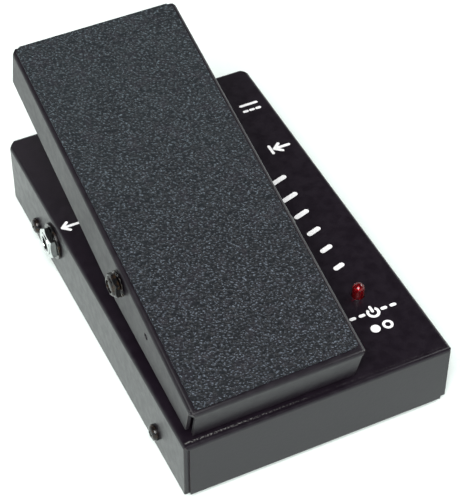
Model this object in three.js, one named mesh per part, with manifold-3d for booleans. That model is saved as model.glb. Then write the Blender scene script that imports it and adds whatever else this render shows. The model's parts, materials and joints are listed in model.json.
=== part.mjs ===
// Optical volume pedal: a folded steel case with a rocking treadle offset to its left.
// Millimetres. +X right, +Y towards the toe, +Z up. The origin is on the ground under the middle of the case.
// The treadle is at its heel-down stop, with the toe raised.
import * as THREE from "three";
import { mergeVertices } from "three/addons/utils/BufferGeometryUtils.js";
import Module from "manifold-3d";

const wasm = await Module();
wasm.setup();

// ---------------------------------------------------------------- driving dimensions

const GAP = 0.3; // clearance kept between separate pieces that touch
const PAST = 5; // how far a cutting tool runs past the face that it cuts

// Flat faces round a circle: parts that show, small parts, and parts hidden inside.
const ROUND = 24;
const SMALL_ROUND = 16;
const HIDDEN_ROUND = 10;

const CASE = { width: 114.3, length: 184.3, height: 29.2, sheet: 1.6, bend: 1.8 };
const CASE_LIFT = 3; // height of the case's lower edge above the ground
const CASE_TOP = CASE_LIFT + CASE.height;
const CASE_CEILING = CASE_TOP - CASE.sheet;
const SIDE_X = CASE.width / 2; // outer face of the side walls
const CORNER = { wallEnd: 2.1, rightHeelEnd: 2.8, sideEndHeel: 1, sideEndToe: 4.2, heelCut: 1.2, toeCut: 4 };

const FLOOR = { underside: 3.4, sheet: 1.6, clearance: 0.35, tabHalfWidth: 5, tabTop: 14 };
const FLOOR_TOP = FLOOR.underside + FLOOR.sheet;

const TREADLE = { width: 72.7, length: 178.4, sheet: 1.6, bend: 1.8, centreX: -17.65, tiltDegrees: 13.57 };
// Depths of the flanges below the plate's top, and the open corners between them.
const FLANGE = { end: 16.3, heel: 14.9, apex: 23.8, toe: 19.1, apexFromHeel: 67 };
const RELIEF = { side: 2.4, step: 2, end: 2, rightTaper: 0.9, heelCut: 2, toeCut: 2.4 };
// The mat's margins: it is stuck on slightly askew, so two of them change from one end to the other.
const MAT = { thickness: 0.7, heelCut: 1, toeCut: 2 };
const MAT_MARGIN = {
  leftAtHeel: 2.5,
  leftAtToe: 1.25,
  right: 2.25,
  heelAtLeft: 1.7,
  heelAtRight: 3.1,
  toe: 0.9,
};

const PIVOT = { fromHeel: 65.2, depth: 7.4, y: -26.7, z: 57.1 };
const BOLT = { radius: 2.4, clearance: 0.35, headFlats: 8 };
const BUSHING = { sleeve: 3.7, flange: 5.2, sleeveEnd: 27.6 };
const LOCK_NUT = { flats: 9.3, collar: 4.3, collarTop: 3.9, collarHeight: 1 };
const TOOTHED_WASHER = { radius: 5.4, root: 4.7, teeth: 12, notchHalfWidth: 0.45, firstAngle: 7 };
const SIDE_HOLE = { fromPivot: 25, radius: 1.45 }; // small hole in each treadle flange, heelward of the pivot

// Distances outward from the treadle's middle, along the pivot axis.
const STACK = { ear: [28, 30], bushingFlange: [30.3, 31.3] };
// The left bolt has its head inside the bracket and its lock nut outside the treadle.
const LEFT_STACK = {
  boltHead: [24, 27.2],
  jamNut: [31.6, 34.4],
  washer: [36.65, 37.55],
  lockNut: [37.85, 40.95],
  boltEnd: 40.65,
};
// The right bolt is turned round: a low button head outside, and its lock nut inside the bracket.
const RIGHT_STACK = {
  boltEnd: 23.8,
  lockNut: [23.3, 27.2],
  jamNut: [31.6, 33.1],
  washer: [33.4, 34.4],
  button: [36.65, 38.05],
};
const BUTTON = { radius: 4.2, rim: 0.45, shoulder: 2.9, socketFlats: 2.5, socketDepth: 1 };

const BRACKET = { sheet: 2, halfLength: 12, earRadius: 5.2, bend: 3, rivetX: 14 };
const RIVET = { shank: 1.6, head: 3, headHeight: 1.3, tail: 2.4, tailHeight: 1 };
const TOE_STOP = { y: 83.8, spread: 18, height: 4, radius: 6 };
const HEEL_STOP = { y: -77.5, height: 17, radius: 7 };

const JACK_Z = 20.3;
const INPUT_JACK_Z = 17.4; // the input socket sits lower than the other two
const AUDIO = { y: 39.05, bushing: 4.6, bore: 3.25, reach: 4.45, boreDepth: 26.6 };
const AUDIO_FLANGE = { radius: 6.6, sheet: 1 };
const AUDIO_SOCKETS = [["output", -1, JACK_Z], ["input", 1, INPUT_JACK_Z]];
const AUDIO_BODY = { length: 21, width: 16, height: 13.6, lugLength: 4, lugPitch: 5 };
const AUDIO_NUT = { flats: 12.7, washer: 8, washerTop: 1.1, from: 1.4, to: 3.95, turn: 12 };
const POWER = { y: 66.95, barrel: 4.9, bore: 2.9, reach: 2.2, boreDepth: 11.4, pin: 1, pinTip: 1.6 };
const POWER_BODY = { length: 12.2, width: 11, height: 12, nut: 6.8, nutTop: 1.9 };
const COVER_SCREW = { heelY: -64.7, toeY: 59.2, z: 11, head: 3.4, headHeight: 2.3, shank: 1.7, length: 7 };

const LED = { x: 37.3, y: -51.5, radius: 2.5, rim: 2.95, rimHeight: 1, height: 6, drop: 0.4 };
const LED_HOLDER = { radius: 5.2, height: 5 };
const FOOT = { x: 44, y: 78, radius: 8, height: 3.1, chamfer: 1, recess: 3.2, seat: 1.7, hole: 1.8 };
const FOOT_SCREW = { bottom: 0.4, rim: 0.5, head: 2.7, headTop: 1.4, shank: 1.4, hole: 1.8 };

// The shutter, in the treadle's frame, and the slot that it passes through in the case's top.
const SHUTTER = { heelY: 24, toeY: 36, half: 0.6, tip: -37.2, cutAway: 9, tabEnd: 10, tab: 1.2 };
const SHUTTER_SCREW = { x: 5.5, head: 2.8, headHeight: 1.8, shank: 1.5, length: 1.3 };
const SLOT = { width: 6, heelY: -8, toeY: 19 };
const OPTIC = { heelY: -3, toeY: 12, inner: 3, outer: 10, foot: 2.6, top: 29 };
const LIGHT = { y: 4.5, z: 23, hole: 2.8 };
const LAMP = { radius: 2.5, tipRadius: 1.8, back: -10.5, shoulder: -5.6, taper: -4.2, tip: -3.6 };
const PHOTOCELL = { radius: 2.5, front: 3.8, back: 10.5 };

const BOARD = { left: -30, right: 26, heel: -38, toe: 30, underside: 11, sheet: 1.6, hole: 1.8, inset: 4 };
const BOARD_TOP = BOARD.underside + BOARD.sheet;
const SUPPORT = { foot: 4, footHeight: 1, post: 2.6, neck: 1.4, catch: 2.2, tip: 1.2, tipHeight: 1.6 };
const CAPACITOR = { x: 14, y: -24, radius: 3, groove: 2.7, height: 11 };
const CHIP = { x: 12, y: 6, halfLength: 4.8, halfWidth: 3.2, height: 3.4 };
const CHIP_DOT = { x: 3.6, radius: 0.8, depth: 0.5 };

const BATTERY = { left: -50, length: 48.5, heel: -86, depth: 26.5, height: 17.5 };
const TERMINAL = { spread: 6.35, radius: 2.9, height: 2.6, clearance: 0.4 };
const SNAP = { thickness: 5, halfWidth: 12, halfHeight: 5 };
const STRAP = { sheet: 0.8, left: -34, right: -22, foot: 9 };

// ---------------------------------------------------------------- colours

const PAINT = { color: 0x1c1c1f, roughness: 0.42, metalness: 0.35 };
const GRIP = { color: 0x2b3033, roughness: 0.9, metalness: 0 };
const CHROME = { color: 0xc9ccce, roughness: 0.18, metalness: 1 };
const BLACK_STEEL = { color: 0x141414, roughness: 0.3, metalness: 0.8 };
const ZINC = { color: 0x9a9c9d, roughness: 0.35, metalness: 0.9 };
const RUBBER = { color: 0x17171a, roughness: 0.95, metalness: 0 };
const NYLON = { color: 0xe6e3d8, roughness: 0.5, metalness: 0 };
const BLACK_PLASTIC = { color: 0x111214, roughness: 0.55, metalness: 0 };
const RED_LENS = { color: 0xa8121c, roughness: 0.15, metalness: 0 };
const BOARD_GREEN = { color: 0x1f5a36, roughness: 0.6, metalness: 0 };
const AMBER = { color: 0xd8a24a, roughness: 0.4, metalness: 0 };

// ---------------------------------------------------------------- helpers

// A closed three.js geometry as a solid that can be joined and cut.
function solid(geometry) {
  const bare = geometry.clone();
  bare.deleteAttribute("normal");
  bare.deleteAttribute("uv");
  const merged = mergeVertices(bare, 1e-4);
  return new wasm.Manifold(
    new wasm.Mesh({
      numProp: 3,
      vertProperties: merged.attributes.position.array,
      triVerts: new Uint32Array(merged.index.array),
    }),
  );
}

// A solid as a flat-shaded three.js geometry.
function geometryOf(body) {
  const mesh = body.getMesh();
  const indexed = new THREE.BufferGeometry();
  indexed.setAttribute("position", new THREE.BufferAttribute(mesh.vertProperties, 3));
  indexed.setIndex(new THREE.BufferAttribute(mesh.triVerts, 1));
  const flat = indexed.toNonIndexed();
  flat.computeVertexNormals();
  return flat;
}

function block([x0, x1], [y0, y1], [z0, z1]) {
  const box = new THREE.BoxGeometry(x1 - x0, y1 - y0, z1 - z0);
  return solid(box.translate((x0 + x1) / 2, (y0 + y1) / 2, (z0 + z1) / 2));
}

// How a drawing's own X and Y, and the direction it is extruded in, lie in the part's frame.
const DRAWN = {
  x: new THREE.Matrix4().set(0, 0, 1, 0, 1, 0, 0, 0, 0, 1, 0, 0, 0, 0, 0, 1), // drawn in Y and Z
  y: new THREE.Matrix4().set(1, 0, 0, 0, 0, 0, -1, 0, 0, 1, 0, 0, 0, 0, 0, 1), // drawn in X and Z
  z: new THREE.Matrix4(), // drawn in X and Y
};

// A shape extruded along an axis, between two places on that axis.
function prism(axis, shape, [from, to], curveSegments = 3) {
  const geometry = new THREE.ExtrudeGeometry(shape, { depth: to - from, bevelEnabled: false, curveSegments });
  geometry.translate(0, 0, axis === "y" ? -to : from);
  return solid(geometry.applyMatrix4(DRAWN[axis]));
}

function polygon(points) {
  return new THREE.Shape(points.map(([a, b]) => new THREE.Vector2(a, b)));
}

// A solid of revolution about Z. The profile's points are [radius, height], from the lower axis end up.
function turned(profile, segments = ROUND) {
  const points = profile.map(([radius, height]) => new THREE.Vector2(radius, height));
  return solid(new THREE.LatheGeometry(points, segments).rotateX(Math.PI / 2));
}

// A body made about +Z, turned so that its axis lies along X and its upper end faces side (1 right, -1 left).
function facing(side, body) {
  return body.rotate([0, side * 90, 0]);
}

function disc(radius, [from, to], segments = ROUND) {
  return turned([[0, from], [radius, from], [radius, to], [0, to]], segments);
}

function ring(inner, outer, [from, to], segments = ROUND) {
  return turned([[inner, from], [outer, from], [outer, to], [inner, to], [inner, from]], segments);
}

// A hexagonal nut or head about Z with its outer corners rounded off at the upper end.
function hexagon(acrossFlats, [from, to], segments = ROUND) {
  const corner = acrossFlats / Math.sqrt(3);
  const cone = [[0, from], [corner, from], [corner, to - 0.5], [corner - 0.8, to], [0, to]];
  return disc(corner, [from, to], 6).intersect(turned(cone, segments));
}

// A screw about +Z: a domed head on the plane height = 0, and its shank below it.
function domedScrew({ head, headHeight, shank, length }) {
  const profile = [[0, -length], [shank, -length], [shank, 0], [head, 0], [head, headHeight * 0.45]];
  profile.push([head * 0.82, headHeight * 0.82], [head * 0.45, headHeight], [0, headHeight]);
  return turned(profile, SMALL_ROUND);
}

// A rectangle from z0 up to z1 with both of its upper corners bent to a radius.
function bentTop(halfWidth, z0, z1, radius) {
  const shape = new THREE.Shape();
  shape.moveTo(-halfWidth, z0);
  shape.lineTo(halfWidth, z0);
  shape.lineTo(halfWidth, z1 - radius);
  shape.absarc(halfWidth - radius, z1 - radius, radius, 0, Math.PI / 2, false);
  shape.lineTo(radius - halfWidth, z1);
  shape.absarc(radius - halfWidth, z1 - radius, radius, Math.PI / 2, Math.PI, false);
  return shape;
}

// A rectangle in plan with 45 degree cuts on its two heel corners and its two toe corners.
function cutCornerPlan(halfWidth, heelY, toeY, heelCut, toeCut) {
  return polygon([
    [-halfWidth + heelCut, heelY],
    [halfWidth - heelCut, heelY],
    [halfWidth, heelY + heelCut],
    [halfWidth, toeY - toeCut],
    [halfWidth - toeCut, toeY],
    [-halfWidth + toeCut, toeY],
    [-halfWidth, toeY - toeCut],
    [-halfWidth, heelY + heelCut],
  ]);
}

const part = new THREE.Group();
const treadle = new THREE.Group();
treadle.position.set(TREADLE.centreX, PIVOT.y, PIVOT.z);
treadle.rotation.x = THREE.MathUtils.degToRad(TREADLE.tiltDegrees);
part.add(treadle);

function add(name, body, look, [x, y, z] = [0, 0, 0], parent = part) {
  const mesh = new THREE.Mesh(geometryOf(body), new THREE.MeshStandardMaterial(look));
  mesh.name = name;
  mesh.position.set(x, y, z);
  parent.add(mesh);
}

const SIDES = [["left", -1], ["right", 1]];

// ---------------------------------------------------------------- case

// One folded sheet: the top and four walls, open below and at the corners.
function caseCover() {
  const halfLength = CASE.length / 2;
  const inner = { x: SIDE_X - CASE.sheet, y: halfLength - CASE.sheet, bend: CASE.bend - CASE.sheet };
  const plan = cutCornerPlan(SIDE_X, -halfLength, halfLength, CORNER.heelCut, CORNER.toeCut);
  const outside = prism("y", bentTop(SIDE_X, CASE_LIFT, CASE_TOP, CASE.bend), [-halfLength, halfLength])
    .intersect(prism("x", bentTop(halfLength, CASE_LIFT, CASE_TOP, CASE.bend), [-SIDE_X, SIDE_X]))
    .intersect(prism("z", plan, [0, CASE_TOP]));
  const hollow = prism("y", bentTop(inner.x, 0, CASE_CEILING, inner.bend), [-inner.y, inner.y])
    .intersect(prism("x", bentTop(inner.y, 0, CASE_CEILING, inner.bend), [-inner.x, inner.x]));
  let cover = outside.subtract(hollow);
  for (const [, side] of SIDES) {
    const heelWallEnd = side > 0 ? CORNER.rightHeelEnd : CORNER.wallEnd;
    const outward = (inset) => [side * (SIDE_X - inset), side * (SIDE_X + PAST)].sort((a, b) => a - b);
    const below = [0, CASE_TOP - CASE.bend];
    cover = cover
      .subtract(block(outward(heelWallEnd), [-halfLength - PAST, -halfLength + CORNER.sideEndHeel], below))
      .subtract(block(outward(CORNER.wallEnd), [halfLength - CORNER.sideEndToe, halfLength + PAST], below));
  }
  return cover.subtract(caseOpenings());
}

// Everything that is drilled or cut through the cover.
function caseOpenings() {
  const through = [-PAST, PAST];
  let cuts = block(
    [TREADLE.centreX - SLOT.width / 2, TREADLE.centreX + SLOT.width / 2],
    [SLOT.heelY, SLOT.toeY],
    [CASE_CEILING - PAST, CASE_TOP + PAST],
  ).add(disc(LED.radius + GAP, through).translate([LED.x, LED.y, CASE_TOP]));
  for (const [, side, height] of AUDIO_SOCKETS) {
    const jackHole = facing(side, disc(AUDIO.bushing + GAP, through));
    cuts = cuts.add(jackHole.translate([side * SIDE_X, AUDIO.y, height]));
  }
  for (const [, side] of SIDES) {
    for (const y of [COVER_SCREW.heelY, COVER_SCREW.toeY]) {
      const screwHole = facing(side, disc(COVER_SCREW.shank + GAP, through, HIDDEN_ROUND));
      cuts = cuts.add(screwHole.translate([side * SIDE_X, y, COVER_SCREW.z]));
    }
    const rivetX = TREADLE.centreX + side * BRACKET.rivetX;
    cuts = cuts.add(disc(RIVET.shank + GAP, through, HIDDEN_ROUND).translate([rivetX, PIVOT.y, CASE_TOP]));
  }
  const powerHole = facing(1, disc(POWER.barrel + GAP, through)).translate([SIDE_X, POWER.y, JACK_Z]);
  return cuts.add(powerHole);
}

// Flat plate inside the cover, with an upturned tab behind each cover screw.
function bottomPlate() {
  const halfX = SIDE_X - CASE.sheet - FLOOR.clearance;
  const halfY = CASE.length / 2 - CASE.sheet - FLOOR.clearance;
  let plate = block([-halfX, halfX], [-halfY, halfY], [FLOOR.underside, FLOOR_TOP]);
  for (const [, side] of SIDES) {
    const tabX = [side * halfX, side * (halfX - FLOOR.sheet)].sort((a, b) => a - b);
    for (const y of [COVER_SCREW.heelY, COVER_SCREW.toeY]) {
      const tabY = [y - FLOOR.tabHalfWidth, y + FLOOR.tabHalfWidth];
      const tab = block(tabX, tabY, [FLOOR.underside, FLOOR.tabTop]);
      const hole = facing(side, disc(COVER_SCREW.shank + GAP, [-PAST, PAST], HIDDEN_ROUND));
      plate = plate.add(tab).subtract(hole.translate([side * halfX, y, COVER_SCREW.z]));
    }
    for (const y of [-FOOT.y, FOOT.y]) {
      const hole = disc(FOOT_SCREW.hole, [0, FLOOR_TOP + PAST], HIDDEN_ROUND);
      plate = plate.subtract(hole.translate([side * FOOT.x, y, 0]));
    }
  }
  return plate;
}

add("base_cover", caseCover(), PAINT);
add("bottom_plate", bottomPlate(), PAINT);

for (const [sideName, side] of SIDES) {
  for (const [endName, y] of [["heel", COVER_SCREW.heelY], ["toe", COVER_SCREW.toeY]]) {
    const place = [side * (SIDE_X + GAP), y, COVER_SCREW.z];
    add(`cover_screw_${sideName}_${endName}`, facing(side, domedScrew(COVER_SCREW)), BLACK_STEEL, place);
  }
}

// A rubber foot with a recess in its middle for a screw.
function rubberFoot() {
  const profile = [[FOOT.recess, 0], [FOOT.radius - FOOT.chamfer, 0], [FOOT.radius, FOOT.chamfer]];
  profile.push([FOOT.radius, FOOT.height], [FOOT.hole, FOOT.height], [FOOT.hole, FOOT.seat]);
  profile.push([FOOT.recess, FOOT.seat], [FOOT.recess, 0]);
  return turned(profile, SMALL_ROUND);
}

function footScrew() {
  const { bottom, rim, head, headTop, shank } = FOOT_SCREW;
  const profile = [[0, bottom], [head - rim, bottom], [head, bottom + rim], [head, headTop]];
  profile.push([shank, headTop], [shank, FLOOR_TOP], [0, FLOOR_TOP]);
  return turned(profile, HIDDEN_ROUND);
}

for (const [sideName, side] of SIDES) {
  for (const [endName, end] of [["heel", -1], ["toe", 1]]) {
    const place = [side * FOOT.x, end * FOOT.y, 0];
    add(`rubber_foot_${sideName}_${endName}`, rubberFoot(), RUBBER, place);
    add(`foot_screw_${sideName}_${endName}`, footScrew(), ZINC, place);
  }
}

// ---------------------------------------------------------------- pivot bracket and stops

// A U of sheet steel on the case's top, whose two ears carry the treadle.
function pivotBracket() {
  const foot = CASE_TOP + GAP;
  const rise = PIVOT.z + BRACKET.earRadius - foot;
  const outer = STACK.ear[1];
  const shell = bentTop(outer, -rise, 0, BRACKET.bend);
  const inside = bentTop(STACK.ear[0], -rise - PAST, -BRACKET.sheet, BRACKET.bend - BRACKET.sheet);
  const span = [-BRACKET.halfLength, BRACKET.halfLength];
  const channel = prism("y", shell, span).subtract(prism("y", inside, span)).rotate([180, 0, 0]);
  const ear = new THREE.Shape();
  ear.moveTo(-BRACKET.halfLength, 0);
  ear.lineTo(BRACKET.halfLength, 0);
  ear.lineTo(BRACKET.halfLength, BRACKET.bend + BRACKET.sheet);
  ear.lineTo(BRACKET.earRadius, PIVOT.z - foot);
  ear.absarc(0, PIVOT.z - foot, BRACKET.earRadius, 0, Math.PI, false);
  ear.lineTo(-BRACKET.halfLength, BRACKET.bend + BRACKET.sheet);
  let bracket = channel.intersect(prism("x", ear, [-outer - 1, outer + 1], 5));
  const pinHole = facing(1, disc(BUSHING.sleeve + GAP, [-outer - PAST, outer + PAST], SMALL_ROUND));
  bracket = bracket.subtract(pinHole.translate([0, 0, PIVOT.z - foot]));
  for (const [, side] of SIDES) {
    const rivetHole = disc(RIVET.shank + GAP, [-PAST, PAST], HIDDEN_ROUND);
    bracket = bracket.subtract(rivetHole.translate([side * BRACKET.rivetX, 0, 0]));
  }
  return bracket;
}

// A rubber stop with a slight taper and a rounded top.
function bumper({ radius, height }) {
  const profile = [[0, 0], [radius, 0], [radius - 0.8, height - 1.4], [radius - 2, height - 0.4]];
  return turned([...profile, [0, height]], SMALL_ROUND);
}

// The head is on top of the bracket's sheet, at height 0, and the tail is under the case's top.
function bracketRivet(tailBottom) {
  const tailTop = tailBottom + RIVET.tailHeight;
  const profile = [[0, tailBottom], [RIVET.tail, tailBottom], [RIVET.tail, tailTop], [RIVET.shank, tailTop]];
  profile.push([RIVET.shank, 0], [RIVET.head, 0], [RIVET.head * 0.73, 1], [0, RIVET.headHeight]);
  return turned(profile, HIDDEN_ROUND);
}

// A flanged sleeve through the ear, running on the bolt.
function pivotBushing() {
  const bore = BOLT.radius + BOLT.clearance;
  const [flangeIn, flangeOut] = STACK.bushingFlange;
  const { sleeve, flange, sleeveEnd } = BUSHING;
  const profile = [[bore, sleeveEnd], [sleeve, sleeveEnd], [sleeve, flangeIn], [flange, flangeIn]];
  profile.push([flange, flangeOut], [bore, flangeOut], [bore, sleeveEnd]);
  return turned(profile, SMALL_ROUND);
}

add("pivot_bracket", pivotBracket(), PAINT, [TREADLE.centreX, PIVOT.y, CASE_TOP + GAP]);
add("heel_bumper", bumper(HEEL_STOP), RUBBER, [TREADLE.centreX, HEEL_STOP.y, CASE_TOP + GAP]);

for (const [sideName, side] of SIDES) {
  const centreX = TREADLE.centreX;
  const sheetTop = CASE_TOP + GAP + BRACKET.sheet + GAP;
  const tailBottom = CASE_CEILING - GAP - RIVET.tailHeight - sheetTop;
  const rivetPlace = [centreX + side * BRACKET.rivetX, PIVOT.y, sheetTop];
  const toePlace = [centreX + side * TOE_STOP.spread, TOE_STOP.y, CASE_TOP + GAP];
  add(`bracket_rivet_${sideName}`, bracketRivet(tailBottom), ZINC, rivetPlace);
  add(`pivot_bushing_${sideName}`, facing(side, pivotBushing()), NYLON, [centreX, PIVOT.y, PIVOT.z]);
  add(`toe_bumper_${sideName}`, bumper(TOE_STOP), RUBBER, toePlace);
}

// ---------------------------------------------------------------- treadle

// Everything here is in the treadle's own frame: the pivot axis is its X axis, and the plate lies flat.
const PLATE_TOP = PIVOT.depth;
const PLATE_UNDER = PLATE_TOP - TREADLE.sheet;
const HEEL_END = -PIVOT.fromHeel;
const TOE_END = TREADLE.length - PIVOT.fromHeel;

// Seen from the side, the plate with both of its bent ends: inset is the sheet's thickness for the hollow
// inside it, and lower is the list of points along the lower edge, from the heel to the toe.
function treadleSide(inset, lower) {
  const top = PLATE_TOP - inset;
  const bend = TREADLE.bend - inset;
  const heel = HEEL_END + inset;
  const toe = TOE_END - inset;
  const shape = polygon(lower);
  shape.lineTo(toe, top - bend);
  shape.absarc(toe - bend, top - bend, bend, 0, Math.PI / 2, false);
  shape.lineTo(heel + bend, top);
  shape.absarc(heel + bend, top - bend, bend, Math.PI / 2, Math.PI, false);
  return shape;
}

// The lower edges of the flanges: shallow at both ends, and deepest on the sides just past the pivot.
function flangeEdge() {
  const endZ = PLATE_TOP - FLANGE.end;
  const sideHeel = HEEL_END + RELIEF.step;
  const sideToe = TOE_END - RELIEF.step;
  return [
    [HEEL_END, endZ],
    [sideHeel, endZ],
    [sideHeel, PLATE_TOP - FLANGE.heel],
    [HEEL_END + FLANGE.apexFromHeel, PLATE_TOP - FLANGE.apex],
    [sideToe, PLATE_TOP - FLANGE.toe],
    [sideToe, endZ],
    [TOE_END, endZ],
  ];
}

function treadlePlate() {
  const half = TREADLE.width / 2;
  const depth = PLATE_TOP - FLANGE.apex - PAST;
  const innerBend = TREADLE.bend - TREADLE.sheet;
  const innerHalf = half - TREADLE.sheet;
  const innerEdge = [[HEEL_END + TREADLE.sheet, depth], [TOE_END - TREADLE.sheet, depth]];
  const plan = cutCornerPlan(half, HEEL_END, TOE_END, RELIEF.heelCut, RELIEF.toeCut);
  const outside = prism("x", treadleSide(0, flangeEdge()), [-half, half])
    .intersect(prism("y", bentTop(half, depth, PLATE_TOP, TREADLE.bend), [HEEL_END - 1, TOE_END + 1]))
    .intersect(prism("z", plan, [depth, PLATE_TOP + 1]));
  const hollow = prism("x", treadleSide(TREADLE.sheet, innerEdge), [-innerHalf, innerHalf])
    .intersect(prism("y", bentTop(innerHalf, depth, PLATE_UNDER, innerBend), [HEEL_END, TOE_END]));
  let plate = outside.subtract(hollow);
  const below = PLATE_TOP - TREADLE.bend;
  for (const [, side] of SIDES) {
    // The end flanges stop short of the sides, so each corner is an open slot, and they taper at the right.
    const taper = side > 0 ? RELIEF.rightTaper : 0;
    const relief = polygon([
      [side * (half + PAST), below],
      [side * (half + PAST), depth],
      [side * (half - RELIEF.end - 2 * taper), depth],
      [side * (half - RELIEF.end - taper), PLATE_TOP - FLANGE.end],
      [side * (half - RELIEF.end), below],
    ]);
    plate = plate
      .subtract(prism("y", relief, [HEEL_END - PAST, HEEL_END + RELIEF.side]))
      .subtract(prism("y", relief, [TOE_END - RELIEF.side, TOE_END + PAST]));
    const boltHole = disc(BOLT.radius + GAP, [half - PAST, half + PAST]);
    const sideHole = disc(SIDE_HOLE.radius, [half - PAST, half + PAST], HIDDEN_ROUND);
    plate = plate
      .subtract(facing(side, boltHole))
      .subtract(facing(side, sideHole).translate([0, -SIDE_HOLE.fromPivot, 0]));
  }
  return plate;
}

function treadleMat() {
  const { leftAtHeel, leftAtToe, right, heelAtLeft, heelAtRight, toe } = MAT_MARGIN;
  const half = TREADLE.width / 2;
  const plan = polygon([
    [leftAtHeel - half + MAT.heelCut, HEEL_END + heelAtLeft],
    [half - right - MAT.heelCut, HEEL_END + heelAtRight],
    [half - right, HEEL_END + heelAtRight + MAT.heelCut],
    [half - right, TOE_END - toe - MAT.toeCut],
    [half - right - MAT.toeCut, TOE_END - toe],
    [leftAtToe - half + MAT.toeCut, TOE_END - toe],
    [leftAtToe - half, TOE_END - toe - MAT.toeCut],
    [leftAtHeel - half, HEEL_END + heelAtLeft + MAT.heelCut],
  ]);
  return prism("z", plan, [PLATE_TOP + GAP, PLATE_TOP + GAP + MAT.thickness]);
}

function addToTreadle(name, body, look) {
  add(name, body, look, [0, 0, 0], treadle);
}

addToTreadle("treadle_plate", treadlePlate(), PAINT);
addToTreadle("treadle_mat", treadleMat(), GRIP);

// Toothed lock washer: a ring with a row of notches round its edge.
function toothedWasher([from, to]) {
  const { radius, root, teeth, notchHalfWidth, firstAngle } = TOOTHED_WASHER;
  let washer = ring(BOLT.radius + BOLT.clearance, radius, [from, to]);
  for (let tooth = 0; tooth < teeth; tooth += 1) {
    const notch = block([root, radius + 1], [-notchHalfWidth, notchHalfWidth], [from - 1, to + 1]);
    washer = washer.subtract(notch.rotate([0, 0, (tooth * 360) / teeth + firstAngle]));
  }
  return washer;
}

// Lock nut: a hexagon with a round collar at its outer end.
function lockNut([from, to]) {
  const { flats, collar, collarTop, collarHeight } = LOCK_NUT;
  const collarProfile = [[0, from + 1], [collar, from + 1], [collar, to - 0.5], [collarTop, to], [0, to]];
  return hexagon(flats, [from, to - collarHeight])
    .add(turned(collarProfile))
    .subtract(disc(BOLT.radius + BOLT.clearance, [from - 1, to + 1], SMALL_ROUND));
}

function hexBolt() {
  const [headFrom, headTo] = LEFT_STACK.boltHead;
  const shank = disc(BOLT.radius, [headTo - 1, LEFT_STACK.boltEnd], SMALL_ROUND);
  return hexagon(BOLT.headFlats, [headFrom, headTo], HIDDEN_ROUND).add(shank);
}

function buttonBolt() {
  const { radius, rim, shoulder, socketFlats, socketDepth } = BUTTON;
  const [seat, crown] = RIGHT_STACK.button;
  const profile = [[0, RIGHT_STACK.boltEnd], [BOLT.radius, RIGHT_STACK.boltEnd], [BOLT.radius, seat]];
  profile.push([radius, seat], [radius, seat + rim], [shoulder, crown - 0.2]);
  profile.push([shoulder - 0.6, crown], [0, crown]);
  return turned(profile).subtract(hexagon(socketFlats, [crown - socketDepth, crown + 1], HIDDEN_ROUND));
}

function jamNut([from, to]) {
  const bore = disc(BOLT.radius + BOLT.clearance, [from - 1, to + 1], SMALL_ROUND);
  return hexagon(BOLT.headFlats, [from, to], HIDDEN_ROUND).subtract(bore);
}

// The same nut with its collar at the other end, for the same two heights.
function turnedRound(body, [from, to]) {
  return body.rotate([180, 0, 0]).translate([0, 0, from + to]);
}

const RIGHT_LOCK_NUT = turnedRound(lockNut(RIGHT_STACK.lockNut), RIGHT_STACK.lockNut);
const PIVOT_HARDWARE = [
  ["left", -1, LEFT_STACK, hexBolt(), lockNut(LEFT_STACK.lockNut)],
  ["right", 1, RIGHT_STACK, buttonBolt(), RIGHT_LOCK_NUT],
];
for (const [sideName, side, stack, bolt, nut] of PIVOT_HARDWARE) {
  addToTreadle(`pivot_bolt_${sideName}`, facing(side, bolt), BLACK_STEEL);
  addToTreadle(`pivot_jam_nut_${sideName}`, facing(side, jamNut(stack.jamNut)), ZINC);
  addToTreadle(`pivot_washer_${sideName}`, facing(side, toothedWasher(stack.washer)), BLACK_STEEL);
  addToTreadle(`pivot_lock_nut_${sideName}`, facing(side, nut), BLACK_STEEL);
}

// The shutter hangs from the plate and passes through the case's slot, between the lamp and the photocell.
const SHUTTER_TOP = PLATE_UNDER - GAP;
const SHUTTER_MIDDLE = (SHUTTER.heelY + SHUTTER.toeY) / 2;

function shutterVane() {
  const blade = polygon([
    [SHUTTER.heelY, SHUTTER_TOP],
    [SHUTTER.heelY, SHUTTER.tip + SHUTTER.cutAway],
    [SHUTTER.heelY + SHUTTER.cutAway / 2, SHUTTER.tip],
    [SHUTTER.toeY, SHUTTER.tip],
    [SHUTTER.toeY, SHUTTER_TOP],
  ]);
  const tabZ = [SHUTTER_TOP - SHUTTER.tab, SHUTTER_TOP];
  const screwHole = disc(SHUTTER_SCREW.shank + GAP, [SHUTTER_TOP - PAST, SHUTTER_TOP + PAST], HIDDEN_ROUND);
  return prism("x", blade, [-SHUTTER.half, SHUTTER.half])
    .add(block([-SHUTTER.half, SHUTTER.tabEnd], [SHUTTER.heelY, SHUTTER.toeY], tabZ))
    .subtract(screwHole.translate([SHUTTER_SCREW.x, SHUTTER_MIDDLE, 0]));
}

function shutterScrew() {
  const seat = SHUTTER_TOP - SHUTTER.tab - GAP;
  return domedScrew(SHUTTER_SCREW).rotate([180, 0, 0]).translate([SHUTTER_SCREW.x, SHUTTER_MIDDLE, seat]);
}

addToTreadle("shutter_vane", shutterVane(), ZINC);
addToTreadle("shutter_screw", shutterScrew(), ZINC);

// ---------------------------------------------------------------- sockets

// Sockets are made about +Z, facing outward, with height 0 on the outer face of the side wall.
const WALL_INSIDE = -CASE.sheet - GAP;

// A flanged tube through the wall: the nut outside pulls its flange against the wall's inner face.
function jackBushing() {
  const { bushing, bore, reach } = AUDIO;
  const flange = AUDIO_FLANGE.radius;
  const flangeBack = WALL_INSIDE - AUDIO_FLANGE.sheet;
  const profile = [[bore, flangeBack], [flange, flangeBack], [flange, WALL_INSIDE], [bushing, WALL_INSIDE]];
  profile.push([bushing, reach - 0.4], [bushing - 0.4, reach], [bore, reach], [bore, flangeBack]);
  return turned(profile);
}

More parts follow.
